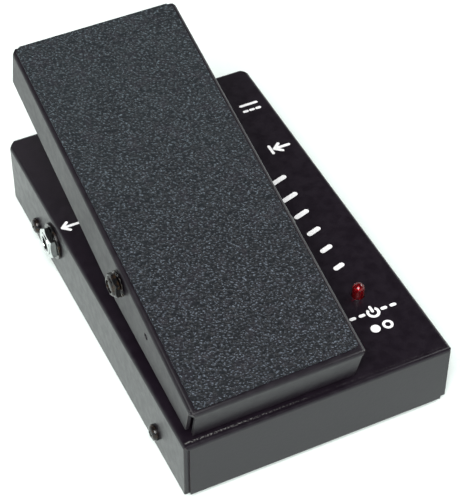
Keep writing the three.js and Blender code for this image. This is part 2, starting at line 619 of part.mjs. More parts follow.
// The moulded body behind the bushing, with a blind bore for the plug and three solder lugs.
function jackBody() {
  const { length, width, height, lugLength, lugPitch } = AUDIO_BODY;
  const front = WALL_INSIDE - AUDIO_FLANGE.sheet - GAP;
  const back = front - length;
  let body = block([-height / 2, height / 2], [-width / 2, width / 2], [back, front])
    .subtract(disc(AUDIO.bore, [AUDIO.reach - AUDIO.boreDepth, front + 1]));
  for (const y of [-lugPitch, 0, lugPitch]) {
    body = body.add(block([-0.4, 0.4], [y - 1, y + 1], [back - lugLength, back + 1]));
  }
  return body;
}

for (const [name, side, height] of AUDIO_SOCKETS) {
  const place = [side * SIDE_X, AUDIO.y, height];
  const bore = AUDIO.bushing + GAP;
  const nut = hexagon(AUDIO_NUT.flats, [AUDIO_NUT.from, AUDIO_NUT.to]).subtract(disc(bore, [0, PAST]));
  const washer = ring(bore, AUDIO_NUT.washer, [GAP, AUDIO_NUT.washerTop]);
  add(`${name}_jack`, facing(side, jackBody()), BLACK_PLASTIC, place);
  add(`${name}_jack_bushing`, facing(side, jackBushing()), CHROME, place);
  add(`${name}_jack_washer`, facing(side, washer), BLACK_STEEL, place);
  add(`${name}_jack_nut`, facing(side, nut.rotate([0, 0, AUDIO_NUT.turn])), CHROME, place);
}

function powerJack() {
  const { length, width, height } = POWER_BODY;
  return block([-height / 2, height / 2], [-width / 2, width / 2], [WALL_INSIDE - length, WALL_INSIDE])
    .add(disc(POWER.barrel, [WALL_INSIDE - 1, POWER.reach]))
    .subtract(disc(POWER.bore, [POWER.reach - POWER.boreDepth, POWER.reach + 1], SMALL_ROUND));
}

function powerPin() {
  const { pin, pinTip } = POWER;
  const root = POWER.reach - POWER.boreDepth + GAP;
  const profile = [[0, root], [pin, root], [pin, pinTip - 0.4], [pin - 0.4, pinTip], [0, pinTip]];
  return turned(profile, HIDDEN_ROUND);
}

const powerPlace = [SIDE_X, POWER.y, JACK_Z];
const powerNut = ring(POWER.barrel + GAP, POWER_BODY.nut, [GAP, POWER_BODY.nutTop]);
add("power_jack", facing(1, powerJack()), BLACK_PLASTIC, powerPlace);
add("power_jack_nut", facing(1, powerNut), BLACK_PLASTIC, powerPlace);
add("power_jack_pin", facing(1, powerPin()), CHROME, powerPlace);

// ---------------------------------------------------------------- status light

// A domed lens through the case's top, with a rim that keeps it from coming out.
function statusLed() {
  const rimTop = CASE_CEILING - LED.drop;
  const domeBase = CASE_TOP + LED.height - LED.radius;
  const profile = [[0, rimTop - LED.rimHeight], [LED.rim, rimTop - LED.rimHeight], [LED.rim, rimTop]];
  profile.push([LED.radius, rimTop], [LED.radius, domeBase]);
  for (const degrees of [22.5, 45, 67.5]) {
    const angle = THREE.MathUtils.degToRad(degrees);
    profile.push([LED.radius * Math.cos(angle), domeBase + LED.radius * Math.sin(angle)]);
  }
  profile.push([0, CASE_TOP + LED.height]);
  return turned(profile, SMALL_ROUND);
}

function ledHolder() {
  const height = [CASE_CEILING - LED_HOLDER.height, CASE_CEILING - GAP];
  return ring(LED.rim + GAP, LED_HOLDER.radius, height, SMALL_ROUND);
}

add("status_led", statusLed(), RED_LENS, [LED.x, LED.y, 0]);
add("led_holder", ledHolder(), BLACK_PLASTIC, [LED.x, LED.y, 0]);

// ---------------------------------------------------------------- electronics

const supportPlaces = [];
for (const x of [BOARD.left + BOARD.inset, BOARD.right - BOARD.inset]) {
  for (const y of [BOARD.heel + BOARD.inset, BOARD.toe - BOARD.inset]) {
    supportPlaces.push([x, y, 0]);
  }
}

function circuitBoard() {
  let board = block([BOARD.left, BOARD.right], [BOARD.heel, BOARD.toe], [BOARD.underside, BOARD_TOP]);
  for (const [x, y] of supportPlaces) {
    board = board.subtract(disc(BOARD.hole, [0, CASE_TOP], HIDDEN_ROUND).translate([x, y, 0]));
  }
  return board;
}

// A snap-in post: a wide foot on the bottom plate, a shoulder under the board and a catch above it.
function boardSupport() {
  const ground = FLOOR_TOP + GAP;
  const shoulder = BOARD.underside - GAP;
  const head = BOARD_TOP + GAP;
  const { foot, footHeight, post, neck, tip, tipHeight } = SUPPORT;
  const profile = [[0, ground], [foot, ground], [foot, ground + footHeight], [post, ground + footHeight]];
  profile.push([post, shoulder], [neck, shoulder], [neck, head], [SUPPORT.catch, head]);
  profile.push([tip, head + tipHeight], [0, head + tipHeight]);
  return turned(profile, HIDDEN_ROUND);
}

// Two towers on one foot: the lamp is in the left one and the photocell in the right one.
function opticalBlock() {
  const x = TREADLE.centreX;
  const base = BOARD_TOP + GAP;
  const { heelY, toeY, inner, outer, foot, top } = OPTIC;
  const lightHole = facing(1, disc(LIGHT.hole, [-outer - 1, outer + 1], SMALL_ROUND));
  return block([x - outer, x + outer], [heelY, toeY], [base, top])
    .subtract(block([x - inner, x + inner], [heelY - 1, toeY + 1], [base + foot, top + 1]))
    .subtract(lightHole.translate([x, LIGHT.y, LIGHT.z]));
}

function lamp() {
  const { radius, tipRadius, back, shoulder, taper, tip } = LAMP;
  return turned([[0, back], [radius, back], [radius, shoulder], [tipRadius, taper], [0, tip]], HIDDEN_ROUND);
}

function filterCapacitor() {
  const { radius, groove, height } = CAPACITOR;
  const profile = [[0, 0], [radius, 0], [radius, 0.8], [groove, 1.2], [radius, 1.6]];
  profile.push([radius, height - 0.4], [groove, height], [0, height]);
  return turned(profile, HIDDEN_ROUND);
}

// An eight-pin package with a small dimple at one end.
function amplifierChip() {
  const { halfLength, halfWidth, height } = CHIP;
  const dimple = disc(CHIP_DOT.radius, [height - CHIP_DOT.depth, height + 1], HIDDEN_ROUND);
  return block([-halfLength, halfLength], [-halfWidth, halfWidth], [0, height])
    .subtract(dimple.translate([-CHIP_DOT.x, 0, 0]));
}

add("circuit_board", circuitBoard(), BOARD_GREEN);
supportPlaces.forEach((place, index) => {
  add(`board_support_${index + 1}`, boardSupport(), NYLON, place);
});
const lightPlace = [TREADLE.centreX, LIGHT.y, LIGHT.z];
const photocell = disc(PHOTOCELL.radius, [PHOTOCELL.front, PHOTOCELL.back], HIDDEN_ROUND);
add("optical_block", opticalBlock(), BLACK_PLASTIC);
add("lamp", facing(1, lamp()), AMBER, lightPlace);
add("photocell", facing(1, photocell), ZINC, lightPlace);
add("filter_capacitor", filterCapacitor(), BLACK_PLASTIC, [CAPACITOR.x, CAPACITOR.y, BOARD_TOP + GAP]);
add("amplifier_chip", amplifierChip(), BLACK_PLASTIC, [CHIP.x, CHIP.y, BOARD_TOP + GAP]);

// ---------------------------------------------------------------- battery

const batteryRight = BATTERY.left + BATTERY.length;
const batteryToe = BATTERY.heel + BATTERY.depth;
const batteryBottom = FLOOR_TOP + GAP;
const batteryTop = batteryBottom + BATTERY.height;
const batteryMidY = (BATTERY.heel + batteryToe) / 2;
const terminalZ = batteryBottom + BATTERY.height / 2;
const terminalYs = [batteryMidY - TERMINAL.spread, batteryMidY + TERMINAL.spread];

function batteryBody() {
  let body = block([BATTERY.left, batteryRight], [BATTERY.heel, batteryToe], [batteryBottom, batteryTop]);
  for (const y of terminalYs) {
    const terminal = facing(1, disc(TERMINAL.radius, [-1, TERMINAL.height], HIDDEN_ROUND));
    body = body.add(terminal.translate([batteryRight, y, terminalZ]));
  }
  return body;
}

function batterySnap() {
  const { thickness, halfWidth, halfHeight } = SNAP;
  let snap = block(
    [batteryRight + GAP, batteryRight + thickness],
    [batteryMidY - halfWidth, batteryMidY + halfWidth],
    [terminalZ - halfHeight, terminalZ + halfHeight],
  );
  for (const y of terminalYs) {
    const radius = TERMINAL.radius + TERMINAL.clearance;
    const socket = facing(1, disc(radius, [-1, TERMINAL.height + TERMINAL.clearance], HIDDEN_ROUND));
    snap = snap.subtract(socket.translate([batteryRight, y, terminalZ]));
  }
  return snap;
}

// A spring-steel strap over the battery, with one foot turned out on the bottom plate.
function batteryStrap() {
  const { sheet, left, right, foot } = STRAP;
  const heel = BATTERY.heel - GAP;
  const toe = batteryToe + GAP;
  const ceiling = batteryTop + GAP;
  const outline = polygon([
    [heel - sheet, batteryBottom],
    [heel, batteryBottom],
    [heel, ceiling],
    [toe, ceiling],
    [toe, batteryBottom],
    [toe + foot, batteryBottom],
    [toe + foot, batteryBottom + sheet],
    [toe + sheet, batteryBottom + sheet],
    [toe + sheet, ceiling + sheet],
    [heel - sheet, ceiling + sheet],
  ]);
  return prism("x", outline, [left, right]);
}

add("battery", batteryBody(), BLACK_STEEL);
add("battery_snap", batterySnap(), BLACK_PLASTIC);
add("battery_strap", batteryStrap(), ZINC);

export default part;
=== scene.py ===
import json
import math

import bmesh
import bpy
from mathutils import Matrix, Vector


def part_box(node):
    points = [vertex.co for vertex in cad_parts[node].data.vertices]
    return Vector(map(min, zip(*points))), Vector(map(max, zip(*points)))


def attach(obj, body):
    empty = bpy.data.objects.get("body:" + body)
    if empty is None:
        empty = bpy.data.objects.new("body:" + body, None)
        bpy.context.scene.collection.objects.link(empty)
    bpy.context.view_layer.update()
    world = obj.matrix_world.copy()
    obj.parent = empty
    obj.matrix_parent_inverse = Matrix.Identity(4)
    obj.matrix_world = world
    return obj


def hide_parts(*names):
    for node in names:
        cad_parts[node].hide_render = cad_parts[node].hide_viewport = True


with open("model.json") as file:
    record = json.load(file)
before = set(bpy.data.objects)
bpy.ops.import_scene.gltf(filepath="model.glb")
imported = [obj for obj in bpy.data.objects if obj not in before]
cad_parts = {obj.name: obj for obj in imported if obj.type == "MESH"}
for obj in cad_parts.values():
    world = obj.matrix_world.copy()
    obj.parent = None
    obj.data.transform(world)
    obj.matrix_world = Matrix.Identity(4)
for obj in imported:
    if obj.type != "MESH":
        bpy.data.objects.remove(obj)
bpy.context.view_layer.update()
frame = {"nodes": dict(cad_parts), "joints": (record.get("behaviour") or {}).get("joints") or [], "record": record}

MM = 0.001
SLOT_OF = {s["node"]: s["material_slot"] for s in frame["record"]["subparts"]}

# ---- sizes, in millimetres

SHEET = 1.6
BEND = 1.8
BEND_STEPS = 10
SHEET_EDGE = 0.22  # rounding of a cut sheet's edges
# The case's corners: how far the end walls and the side walls stop short, and the cuts of its top.
CORNER = {
    "wall_end": 2.1, "right_heel_end": 2.8, "side_heel": 1.0, "side_toe": 4.2,
    "heel_cut": 1.2, "toe_cut": 4.0,
}
# Radii of the holes in the case and in the treadle's flanges, and the slot for the shutter.
HOLE = {
    "audio": 4.9, "power": 5.2, "light": 2.8, "cover_screw": 2.0, "rivet": 1.9, "pivot": 2.7, "side": 1.45,
}
SHUTTER_SLOT = {"half_width": 3, "heel": -8, "toe": 19}

# The treadle in its own frame: the pivot is its X axis, and its plate lies flat, its top 7.4 mm up.
TILT = math.radians(13.57)
TREADLE = {"half": 36.35, "length": 178.4, "from_heel": 65.2, "top": 7.4}
FLANGE = {"end": 16.3, "heel": 14.9, "apex": 23.8, "toe": 19.1, "apex_from_heel": 67.0, "flare": 0.33}
RELIEF = {"side": 2.4, "step": 2.0, "end": 2.0, "right_taper": 0.9, "heel_cut": 2.0, "toe_cut": 2.4}
MAT = {"gap": 0.3, "thickness": 0.7, "heel_cut": 1.0, "toe_cut": 2.0}
# The mat is stuck on slightly askew, so its margins change from one end to the other.
MARGIN = {"left_heel": 2.5, "left_toe": 1.25, "right": 2.25, "heel_left": 1.7, "heel_right": 3.1, "toe": 0.9}
HEEL_END = -TREADLE["from_heel"]
TOE_END = TREADLE["length"] - TREADLE["from_heel"]

SIDE_HOLE_Y = -25.0  # small hole in each flange, from the pivot

# The pivot hardware, outward from the treadle's middle.
HEX_FLATS, LOCK_FLATS, NUT_BORE, SHANK = 8.0, 9.3, 2.75, 2.4
LEFT = {
    "head": (24.0, 27.2), "jam_nut": (31.6, 34.4), "washer": (36.65, 37.55), "lock_nut": (37.85, 40.95),
    "thread_end": 40.2, "tip": ((2.2, 40.4), (1.7, 40.6), (0, 40.65)),
}
RIGHT = {"end": 23.8, "jam_nut": (31.6, 33.1), "washer": (33.4, 34.4), "seat": 36.65, "crown": 38.05}
RIGHT_LOCK_NUT = {"outer": 27.2, "height": 3.9}

AUDIO = {"bore": 3.25, "thread": 4.6, "nut_flats": 12.7, "nut": (1.4, 3.95), "nut_turn": math.radians(12)}
SAME = 1e-6  # millimetres: anything shorter counts as nothing
WELD = 2e-6  # metres: points closer than this are merged

PIVOT = [v / MM for v in frame["joints"][0]["pos_m"]]
TREADLE_PLACE = Matrix.Translation([v * MM for v in PIVOT]) @ Matrix.Rotation(TILT, 4, "X")

QUARTER = math.pi / 2
SIDES = (-1, "left"), (1, "right")
COLOUR_A, COLOUR_B, COLOUR_RESULT = 6, 7, 2  # a Mix node's colour sockets


def node_box(node):
    """Lowest and highest corner of a CAD node, in millimetres."""
    low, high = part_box(node)
    return low / MM, high / MM


def centre(node):
    low, high = node_box(node)
    return (low + high) / 2


CASE_LOW, CASE_HIGH = node_box("base_cover")
SIDE_X, HALF_Y, CASE_TOP = CASE_HIGH.x, CASE_HIGH.y, CASE_HIGH.z
CEILING = CASE_TOP - SHEET

# ---- mesh helpers


def new_object(name, bm, place=None):
    """An object from a bmesh in millimetres. place is its matrix, in metres."""
    mesh = bpy.data.meshes.new(name)
    bmesh.ops.scale(bm, vec=(MM, MM, MM), verts=bm.verts)
    bmesh.ops.recalc_face_normals(bm, faces=bm.faces)
    bm.to_mesh(mesh)
    bm.free()
    obj = bpy.data.objects.new(name, mesh)
    bpy.context.scene.collection.objects.link(obj)
    if place is not None:
        obj.matrix_world = place
    return obj


PLACE_ALONG = {
    "x": lambda a, b, h: (h, a, b),
    "y": lambda a, b, h: (a, h, b),
    "z": lambda a, b, h: (a, b, h),
}


def add_prism(bm, points, axis, low, high):
    """Extrudes an outline between two places on an axis."""
    place = PLACE_ALONG[axis]
    rings = [[bm.verts.new(place(a, b, h)) for a, b in points] for h in (low, high)]
    bm.faces.new(rings[0])
    bm.faces.new(rings[1])
    count = len(points)
    for i in range(count):
        j = (i + 1) % count
        bm.faces.new((rings[0][i], rings[0][j], rings[1][j], rings[1][i]))


def prism(points, axis, low, high):
    bm = bmesh.new()
    add_prism(bm, points, axis, low, high)
    return new_object("tool", bm)


def box_points(x, y):
    return [(x[0], y[0]), (x[1], y[0]), (x[1], y[1]), (x[0], y[1])]


def circle(radius, steps=48, at=(0, 0)):
    angles = [2 * math.pi * i / steps for i in range(steps)]
    return [(at[0] + radius * math.cos(a), at[1] + radius * math.sin(a)) for a in angles]


def arc(cx, cy, radius, start, end, steps):
    """Points along an arc, with both of its ends."""
    angles = [start + (end - start) * i / steps for i in range(steps + 1)]
    return [(cx + radius * math.cos(a), cy + radius * math.sin(a)) for a in angles]


def bent_top(low, high, floor, top, radius):
    """A rectangle whose two upper corners are bent to a radius."""
    points = [(low, floor), (high, floor)]
    points += arc(high - radius, top - radius, radius, 0, QUARTER, BEND_STEPS)
    points += arc(low + radius, top - radius, radius, QUARTER, 2 * QUARTER, BEND_STEPS)
    return points


def cut_corners(half, heel, toe, heel_cut, toe_cut, rounding=0.25):
    """A plan outline with 45 degree corners, each of whose bends is slightly rounded."""
    sharp = [
        (-half + heel_cut, heel), (half - heel_cut, heel), (half, heel + heel_cut), (half, toe - toe_cut),
        (half - toe_cut, toe), (-half + toe_cut, toe), (-half, toe - toe_cut), (-half, heel + heel_cut),
    ]
    return soften(sharp, rounding, closed=True)


def soften(points, radius, closed=False, steps=3):
    """Rounds the corners of an outline or profile, less where a side is short."""
    nearly_straight = 0.05
    most_of_side = 0.45
    result = []
    count = len(points)
    for i, point in enumerate(points):
        if not closed and i in (0, count - 1):
            result.append(tuple(point))
            continue
        here = Vector(point)
        before = Vector(points[i - 1]) - here
        after = Vector(points[(i + 1) % count]) - here
        short = before.length < SAME or after.length < SAME
        if short or abs(before.angle(after) - math.pi) < nearly_straight:
            result.append(tuple(point))
            continue
        reach = min(radius, before.length * most_of_side, after.length * most_of_side)
        a = here + before.normalized() * reach
        b = here + after.normalized() * reach
        for k in range(steps + 1):
            t = k / steps
            result.append(tuple((1 - t) ** 2 * a + 2 * t * (1 - t) * here + t ** 2 * b))
    return result


def add_turned(bm, profile, steps=64):
    """A body of revolution about Z. Its profile starts and ends on the axis, or closes on itself."""
    rings = []
    for radius, height in profile:
        if radius < SAME:
            rings.append([bm.verts.new((0, 0, height))])
        else:
            rings.append([bm.verts.new((x, y, height)) for x, y in circle(radius, steps)])
    pairs = list(zip(rings, rings[1:]))
    if len(rings[0]) > 1:
        pairs.append((rings[-1], rings[0]))
    for lower, upper in pairs:
        for i in range(steps):
            j = (i + 1) % steps
            corners = [ring[k % len(ring)] for ring, k in ((lower, i), (lower, j), (upper, j), (upper, i))]
            unique = list(dict.fromkeys(corners))
            if len(unique) > 2:
                bm.faces.new(unique)


def turned(profile, steps=64, rounding=0.0):
    bm = bmesh.new()
    closed = profile[0][0] > SAME
    add_turned(bm, soften(profile, rounding, closed) if rounding else profile, steps)
    return new_object("turned", bm)


def remove(obj):
    mesh = obj.data
    bpy.data.objects.remove(obj)
    bpy.data.meshes.remove(mesh)


def combine(target, tool, operation):
    """target with tool taken away, added or kept in common. The tool goes."""
    modifier = target.modifiers.new("combine", "BOOLEAN")
    modifier.object = tool
    modifier.operation = operation
    modifier.solver = "EXACT"
    bpy.context.view_layer.update()
    made = bpy.data.meshes.new_from_object(target.evaluated_get(bpy.context.evaluated_depsgraph_get()))
    old = target.data
    target.modifiers.clear()
    target.data = made
    bpy.data.meshes.remove(old)
    remove(tool)
    return target


def tidy_mesh(obj):
    """Removes the doubled points and slivers that cutting can leave."""
    bm = bmesh.new()
    bm.from_mesh(obj.data)
    bmesh.ops.remove_doubles(bm, verts=bm.verts, dist=WELD)
    bmesh.ops.dissolve_degenerate(bm, edges=bm.edges, dist=WELD)
    bm.to_mesh(obj.data)
    bm.free()
    return obj


def round_edges(obj, width, angle, segments=2):
    bevel = obj.modifiers.new("edges", "BEVEL")
    bevel.width = width * MM
    bevel.segments = segments
    bevel.limit_method = "ANGLE"
    bevel.angle_limit = math.radians(angle)
    return bevel


def finished(obj, name, edge=SHEET_EDGE, segments=2, angle=35, edge_slot=-1):
    """Names a body, rounds its sharp edges and shades it smooth."""
    obj.name = name
    obj.data.name = name
    for polygon in obj.data.polygons:
        polygon.use_smooth = True
    if edge:
        bevel = round_edges(obj, edge, angle, segments)
        bevel.miter_outer = "MITER_ARC"
        bevel.material = edge_slot
    normals = obj.modifiers.new("normals", "WEIGHTED_NORMAL")
    normals.keep_sharp = True
    normals.weight = 60
    return obj


def mark_faces(obj, slot, chosen):
    """Gives the chosen faces another of the object's materials."""
    for face in obj.data.polygons:
        if chosen(face):
            face.material_index = slot
    return obj


def mark_cut_ends(obj, half):
    """Gives the sheared ends of the two side walls the painted-shade material. half is half the outer width."""
    inner = (half - SHEET - 0.01) * MM
    return mark_faces(obj, 2, lambda face: abs(face.normal.y) > 0.9 and abs(face.center.x) > inner)


def mark_bore(obj, radius):
    """Marks the faces inside a radius round the body's own Z axis, which take the bore's painted shade."""
    return mark_faces(obj, 1, lambda face: math.hypot(face.center.x, face.center.y) < radius * MM)


def facing_matrix(side, at):
    """Turns a body made about +Z to face along X (side 1) or against it (side -1)."""
    return Matrix.Translation(Vector(at) * MM) @ Matrix.Rotation(side * QUARTER, 4, "Y")


def upright(at, height=0.0):
    """The place of a body that stands upright over a point of the plan."""
    return Matrix.Translation(Vector((at.x, at.y, height)) * MM)


def fit(obj, body, material, *nodes, others=()):
    """Gives a piece its materials and its body, and hides the CAD nodes that it stands for."""
    obj.data.materials.clear()
    for each in (material, *others):
        obj.data.materials.append(each)
    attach(obj, body)
    if nodes:
        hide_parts(*nodes)
    return obj


def fit_fine(obj, node, body, slot, edge=0.0, others=()):
    """Finishes a detailed piece that stands for one CAD node and takes that node's finish."""
    fine = finished(obj, f"{node}_fine", edge=edge)
    fit(fine, body, MATERIAL[slot], node, others=others)


# ---- material helpers


def set_inputs(node, **values):
    """Sets a node's sockets to plain values. An underscore in a name stands for a space."""
    for socket, value in values.items():
        node.inputs[socket.replace("_", " ")].default_value = value


class Shader:
    """A Principled material, placed by the object's own coordinates, in metres."""

    def __init__(self, name, **sockets):
        self.material = bpy.data.materials.new(name)
        self.material.use_nodes = True
        self.tree = self.material.node_tree
        self.surface = self.tree.nodes["Principled BSDF"]
        set_inputs(self.surface, **sockets)
        self.place = self.add("ShaderNodeTexCoord").outputs["Object"]

    def add(self, kind, **properties):
        node = self.tree.nodes.new(kind)
        for key, value in properties.items():
            setattr(node, key, value)
        return node

    def feed(self, socket, value):
        """Links a node's output to a socket, or sets the socket to a number or colour."""
        if isinstance(value, bpy.types.NodeSocket):
            self.tree.links.new(value, socket)
        else:
            socket.default_value = value

    def noise(self, per_metre, detail=3.0, roughness=0.55, stretch=None):
        place = self.place
        if stretch:
            mapping = self.add("ShaderNodeMapping")
            self.feed(mapping.inputs["Vector"], place)
            set_inputs(mapping, Scale=stretch)
            place = mapping.outputs["Vector"]
        node = self.add("ShaderNodeTexNoise")
        self.feed(node.inputs["Vector"], place)
        set_inputs(node, Scale=per_metre, Detail=detail, Roughness=roughness)
        return node.outputs["Fac"]

    def cells(self, place, per_metre, feature="F1", output="Distance", smooth=None):
        node = self.add("ShaderNodeTexVoronoi", feature=feature)
        self.feed(node.inputs["Vector"], place)
        set_inputs(node, Scale=per_metre)
        if smooth is not None:
            set_inputs(node, Smoothness=smooth)
        return node.outputs[output]

    def math(self, operation, a, b=0.0, clamp=False):
        node = self.add("ShaderNodeMath", operation=operation, use_clamp=clamp)
        self.feed(node.inputs[0], a)
        self.feed(node.inputs[1], b)
        return node.outputs[0]

    def span(self, value, low, high, to_low=0.0, to_high=1.0):
        """value from low..high, moved smoothly to to_low..to_high and held there."""
        node = self.add("ShaderNodeMapRange", interpolation_type="SMOOTHSTEP")
        self.feed(node.inputs["Value"], value)
        set_inputs(node, From_Min=low, From_Max=high, To_Min=to_low, To_Max=to_high)
        return node.outputs["Result"]

    def axis(self, name):
        node = self.add("ShaderNodeSeparateXYZ")
        self.feed(node.inputs[0], self.place)
        return node.outputs[name.upper()]

    def mix(self, amount, a, b):
        node = self.add("ShaderNodeMix", data_type="RGBA")
        self.feed(node.inputs["Factor"], amount)
        for socket, value in ((COLOUR_A, a), (COLOUR_B, b)):
            linked = isinstance(value, bpy.types.NodeSocket)
            self.feed(node.inputs[socket], value if linked else (*value, 1.0))
        return node.outputs[COLOUR_RESULT]

    def bump(self, height, depth_mm, strength=1.0, below=None):
        node = self.add("ShaderNodeBump")
        self.feed(node.inputs["Height"], height)
        set_inputs(node, Distance=depth_mm * MM, Strength=strength)
        if below is not None:
            self.feed(node.inputs["Normal"], below)
        return node.outputs["Normal"]

    def colour(self, value):
        self.feed(self.surface.inputs["Base Color"], value)

    def rough(self, value):
        self.feed(self.surface.inputs["Roughness"], value)

    def metal(self, value):
        self.feed(self.surface.inputs["Metallic"], value)

    def normal(self, value):
        self.feed(self.surface.inputs["Normal"], value)


# ---- materials


def powder_coat(name, wear=None, rougher=0.0):
    """Semi-gloss black powder coat: orange peel, faint mottling and a few specks of dust.
    wear(shader) gives a mask where the coat is rubbed down to bright steel."""
    s = Shader(name, IOR=1.42, Specular_Tint=(0.95, 1.0, 0.98, 1.0))
    mottle = s.noise(260, detail=4)
    speck = s.noise(2600, detail=2)
    base = s.mix(s.span(mottle, 0.35, 0.65), (0.0060, 0.0036, 0.0066), (0.0078, 0.0047, 0.0086))
    base = s.mix(s.span(speck, 0.62, 0.78, 0.0, 0.5), base, (0.020, 0.013, 0.021))
    dust = s.span(s.noise(5200, detail=1), 0.73, 0.80, 0.0, 0.22)
    base = s.mix(dust, base, (0.08, 0.08, 0.09))
    rough = s.span(mottle, 0.3, 0.7, 0.28 + rougher, 0.35 + rougher)
    peel = s.bump(s.noise(950, detail=2), 0.028)
    peel = s.bump(s.noise(3600, detail=2), 0.006, below=peel)
    if wear:
        worn = wear(s)
        base = s.mix(worn, base, (0.37, 0.37, 0.355))
        rough = s.math("ADD", rough, s.math("MULTIPLY", worn, 0.05))
        s.metal(s.math("MULTIPLY", worn, 0.6))
        peel = s.bump(worn, 0.05, strength=0.6, below=peel)
    s.colour(base)
    s.rough(rough)
    s.normal(peel)
    return s.material


def edge_wear_and_highlight():
    """The rounded cut edges of the sheet, brown-grey and a little lighter than the coat: partly a painted
    highlight along every edge, partly real wear, with bright nicks.
    """
    s = Shader("edge_wear_and_highlight", IOR=1.5)
    nicks = s.span(s.noise(1100, detail=4, roughness=0.7), 0.58, 0.70)
    thin = s.span(s.noise(420, detail=3), 0.35, 0.65)
    base = s.mix(thin, (0.016, 0.011, 0.011), (0.070, 0.052, 0.046))
    s.colour(s.mix(nicks, base, (0.30, 0.27, 0.25)))
    s.metal(s.math("MULTIPLY", nicks, 0.6))
    s.rough(s.span(thin, 0.0, 1.0, 0.34, 0.46))
    s.normal(s.bump(s.noise(2400, detail=3), 0.012))
    return s.material


def cut_end_painted_shade():
    """Painted shade on the ends where the sheet was sheared: matt and near-black, standing in for the shade in the
    open corners.
    """
    s = Shader("cut_end_painted_shade", IOR=1.2)
    streak = s.noise(900, detail=3, stretch=(1.0, 1.0, 0.15))
    s.colour(s.mix(s.span(streak, 0.35, 0.65), (0.004, 0.003, 0.004), (0.012, 0.009, 0.009)))
    s.rough(s.span(streak, 0.3, 0.7, 0.65, 0.85))
    s.normal(s.bump(streak, 0.03))
    return s.material


def heel_edge_wear(s):
    """A thin sparkly rub on the case's top, along the bend into the heel wall, heaviest at the left."""
    inward = s.math("ADD", s.axis("y"), HALF_Y * MM)
    starts, ends = s.span(inward, 1.7 * MM, 2.3 * MM), s.span(inward, 2.5 * MM, 3.1 * MM, 1.0, 0.0)
    line = s.math("MULTIPLY", starts, ends)
    upper = s.span(s.axis("z"), (CASE_TOP - 0.4) * MM, (CASE_TOP - 0.2) * MM)
    along = s.span(s.axis("x"), -0.055, 0.004, 0.9, 0.05)
    grain = s.math("MULTIPLY", s.span(s.noise(1400, detail=4, roughness=0.7), 0.47, 0.66), along)
    return s.math("MULTIPLY", s.math("MULTIPLY", line, upper), grain, clamp=True)


def treadle_wear(s):
    """Small chips on the treadle's two heel corners and a faint rub along its right-hand bend."""
    half, top = TREADLE["half"], TREADLE["top"]
    heel = s.span(s.axis("y"), (HEEL_END + 0.4) * MM, (HEEL_END + 4.5) * MM, 1.0, 0.0)
    outer = s.span(s.math("ABSOLUTE", s.axis("x")), (half - 3.5) * MM, (half - 0.6) * MM)
    chips = s.span(s.noise(1400, detail=4, roughness=0.7), 0.56, 0.70)
    corner = s.math("MULTIPLY", s.math("MULTIPLY", heel, outer), s.math("MULTIPLY", chips, 0.6))
    right = s.span(s.axis("x"), (half - 0.75) * MM, (half - 0.45) * MM)
    bend = s.span(s.axis("z"), (top - 1.1) * MM, (top - 0.7) * MM)
    patches = s.span(s.noise(300, detail=4), 0.35, 0.62, 0.0, 0.03)
    rub = s.math("MULTIPLY", s.math("MULTIPLY", right, bend), patches)
    return s.math("ADD", corner, rub, clamp=True)


def grip_sheet():
    """Pebbled grip sheet: close irregular pebbles, drawn out a little to one side, under finer grit."""
    pebbles_per_metre = 1260
    s = Shader("grip_mat", IOR=1.5, Specular_IOR_Level=0.36)
    drawn = s.add("ShaderNodeMapping", vector_type="TEXTURE")
    s.feed(drawn.inputs["Vector"], s.place)
    set_inputs(drawn, Rotation=(0.0, 0.0, math.radians(-26)), Scale=(1.45, 1.0, 1.0))
    wander = s.add("ShaderNodeTexNoise")
    s.feed(wander.inputs["Vector"], drawn.outputs["Vector"])
    set_inputs(wander, Scale=760, Detail=3)
    warped = s.add("ShaderNodeVectorMath", operation="MULTIPLY_ADD")
    s.feed(warped.inputs[0], wander.outputs["Color"])
    warped.inputs[1].default_value = (0.0011, 0.0011, 0.0011)
    s.feed(warped.inputs[2], drawn.outputs["Vector"])
    warped = warped.outputs[0]
    dome = s.span(s.cells(warped, pebbles_per_metre, feature="SMOOTH_F1", smooth=0.35), 0.06, 0.60, 1.0, 0.0)
    cluster = s.span(s.cells(warped, 520, feature="SMOOTH_F1", smooth=0.6), 0.12, 0.62, 1.0, 0.0)
    tone = s.add("ShaderNodeSeparateColor")
    s.feed(tone.inputs[0], s.cells(warped, pebbles_per_metre, output="Color"))
    grit = s.noise(2600, detail=3, roughness=0.7)
    wide = s.span(s.noise(75, detail=4), 0.35, 0.65)
    # Towards the toe the gaps are lighter and the glints dimmer, so the sheet is greyer and lower in contrast
    # there.
    toeward = s.span(s.axis("y"), -0.050, 0.100)
    toe_low = s.mix(wide, (0.0060, 0.0090, 0.0120), (0.0090, 0.0130, 0.0160))
    # low is the gaps' colour, darkened as painted shade; bright is a painted glint on the pebble tops where the
    # grit is high.
    low = s.mix(toeward, (0.0026, 0.0042, 0.0066), toe_low)
    bright = s.mix(toeward, (0.235, 0.275, 0.335), (0.150, 0.198, 0.228))
    high = s.mix(s.span(grit, 0.36, 0.62), (0.026, 0.034, 0.045), bright)
    high = s.mix(s.math("MULTIPLY", toeward, 0.40), high, (0.125, 0.168, 0.190))
    high = s.mix(s.span(tone.outputs[0], 0.20, 0.95, 0.0, 0.45), high, (0.014, 0.019, 0.026))
    high = s.mix(cluster, s.mix(0.20, high, (0.005, 0.008, 0.012)), high)
    # Painted highlight and shade: pebble tops are painted far lighter than the gaps, over the sheet's own random
    # tone.
    base = s.mix(s.span(dome, 0.12, 0.80), low, high)
    base = s.mix(s.span(s.noise(160, detail=2), 0.52, 0.66, 0.0, 0.15), base, (0.030, 0.022, 0.034))
    s.colour(base)
    s.rough(s.span(grit, 0.3, 0.7, 0.56, 0.42))
    bumps = s.bump(s.math("ADD", dome, s.math("MULTIPLY", cluster, 0.3)), 0.85, strength=1.0)
    s.normal(s.bump(grit, 0.05, strength=0.9, below=bumps))
    return s.material


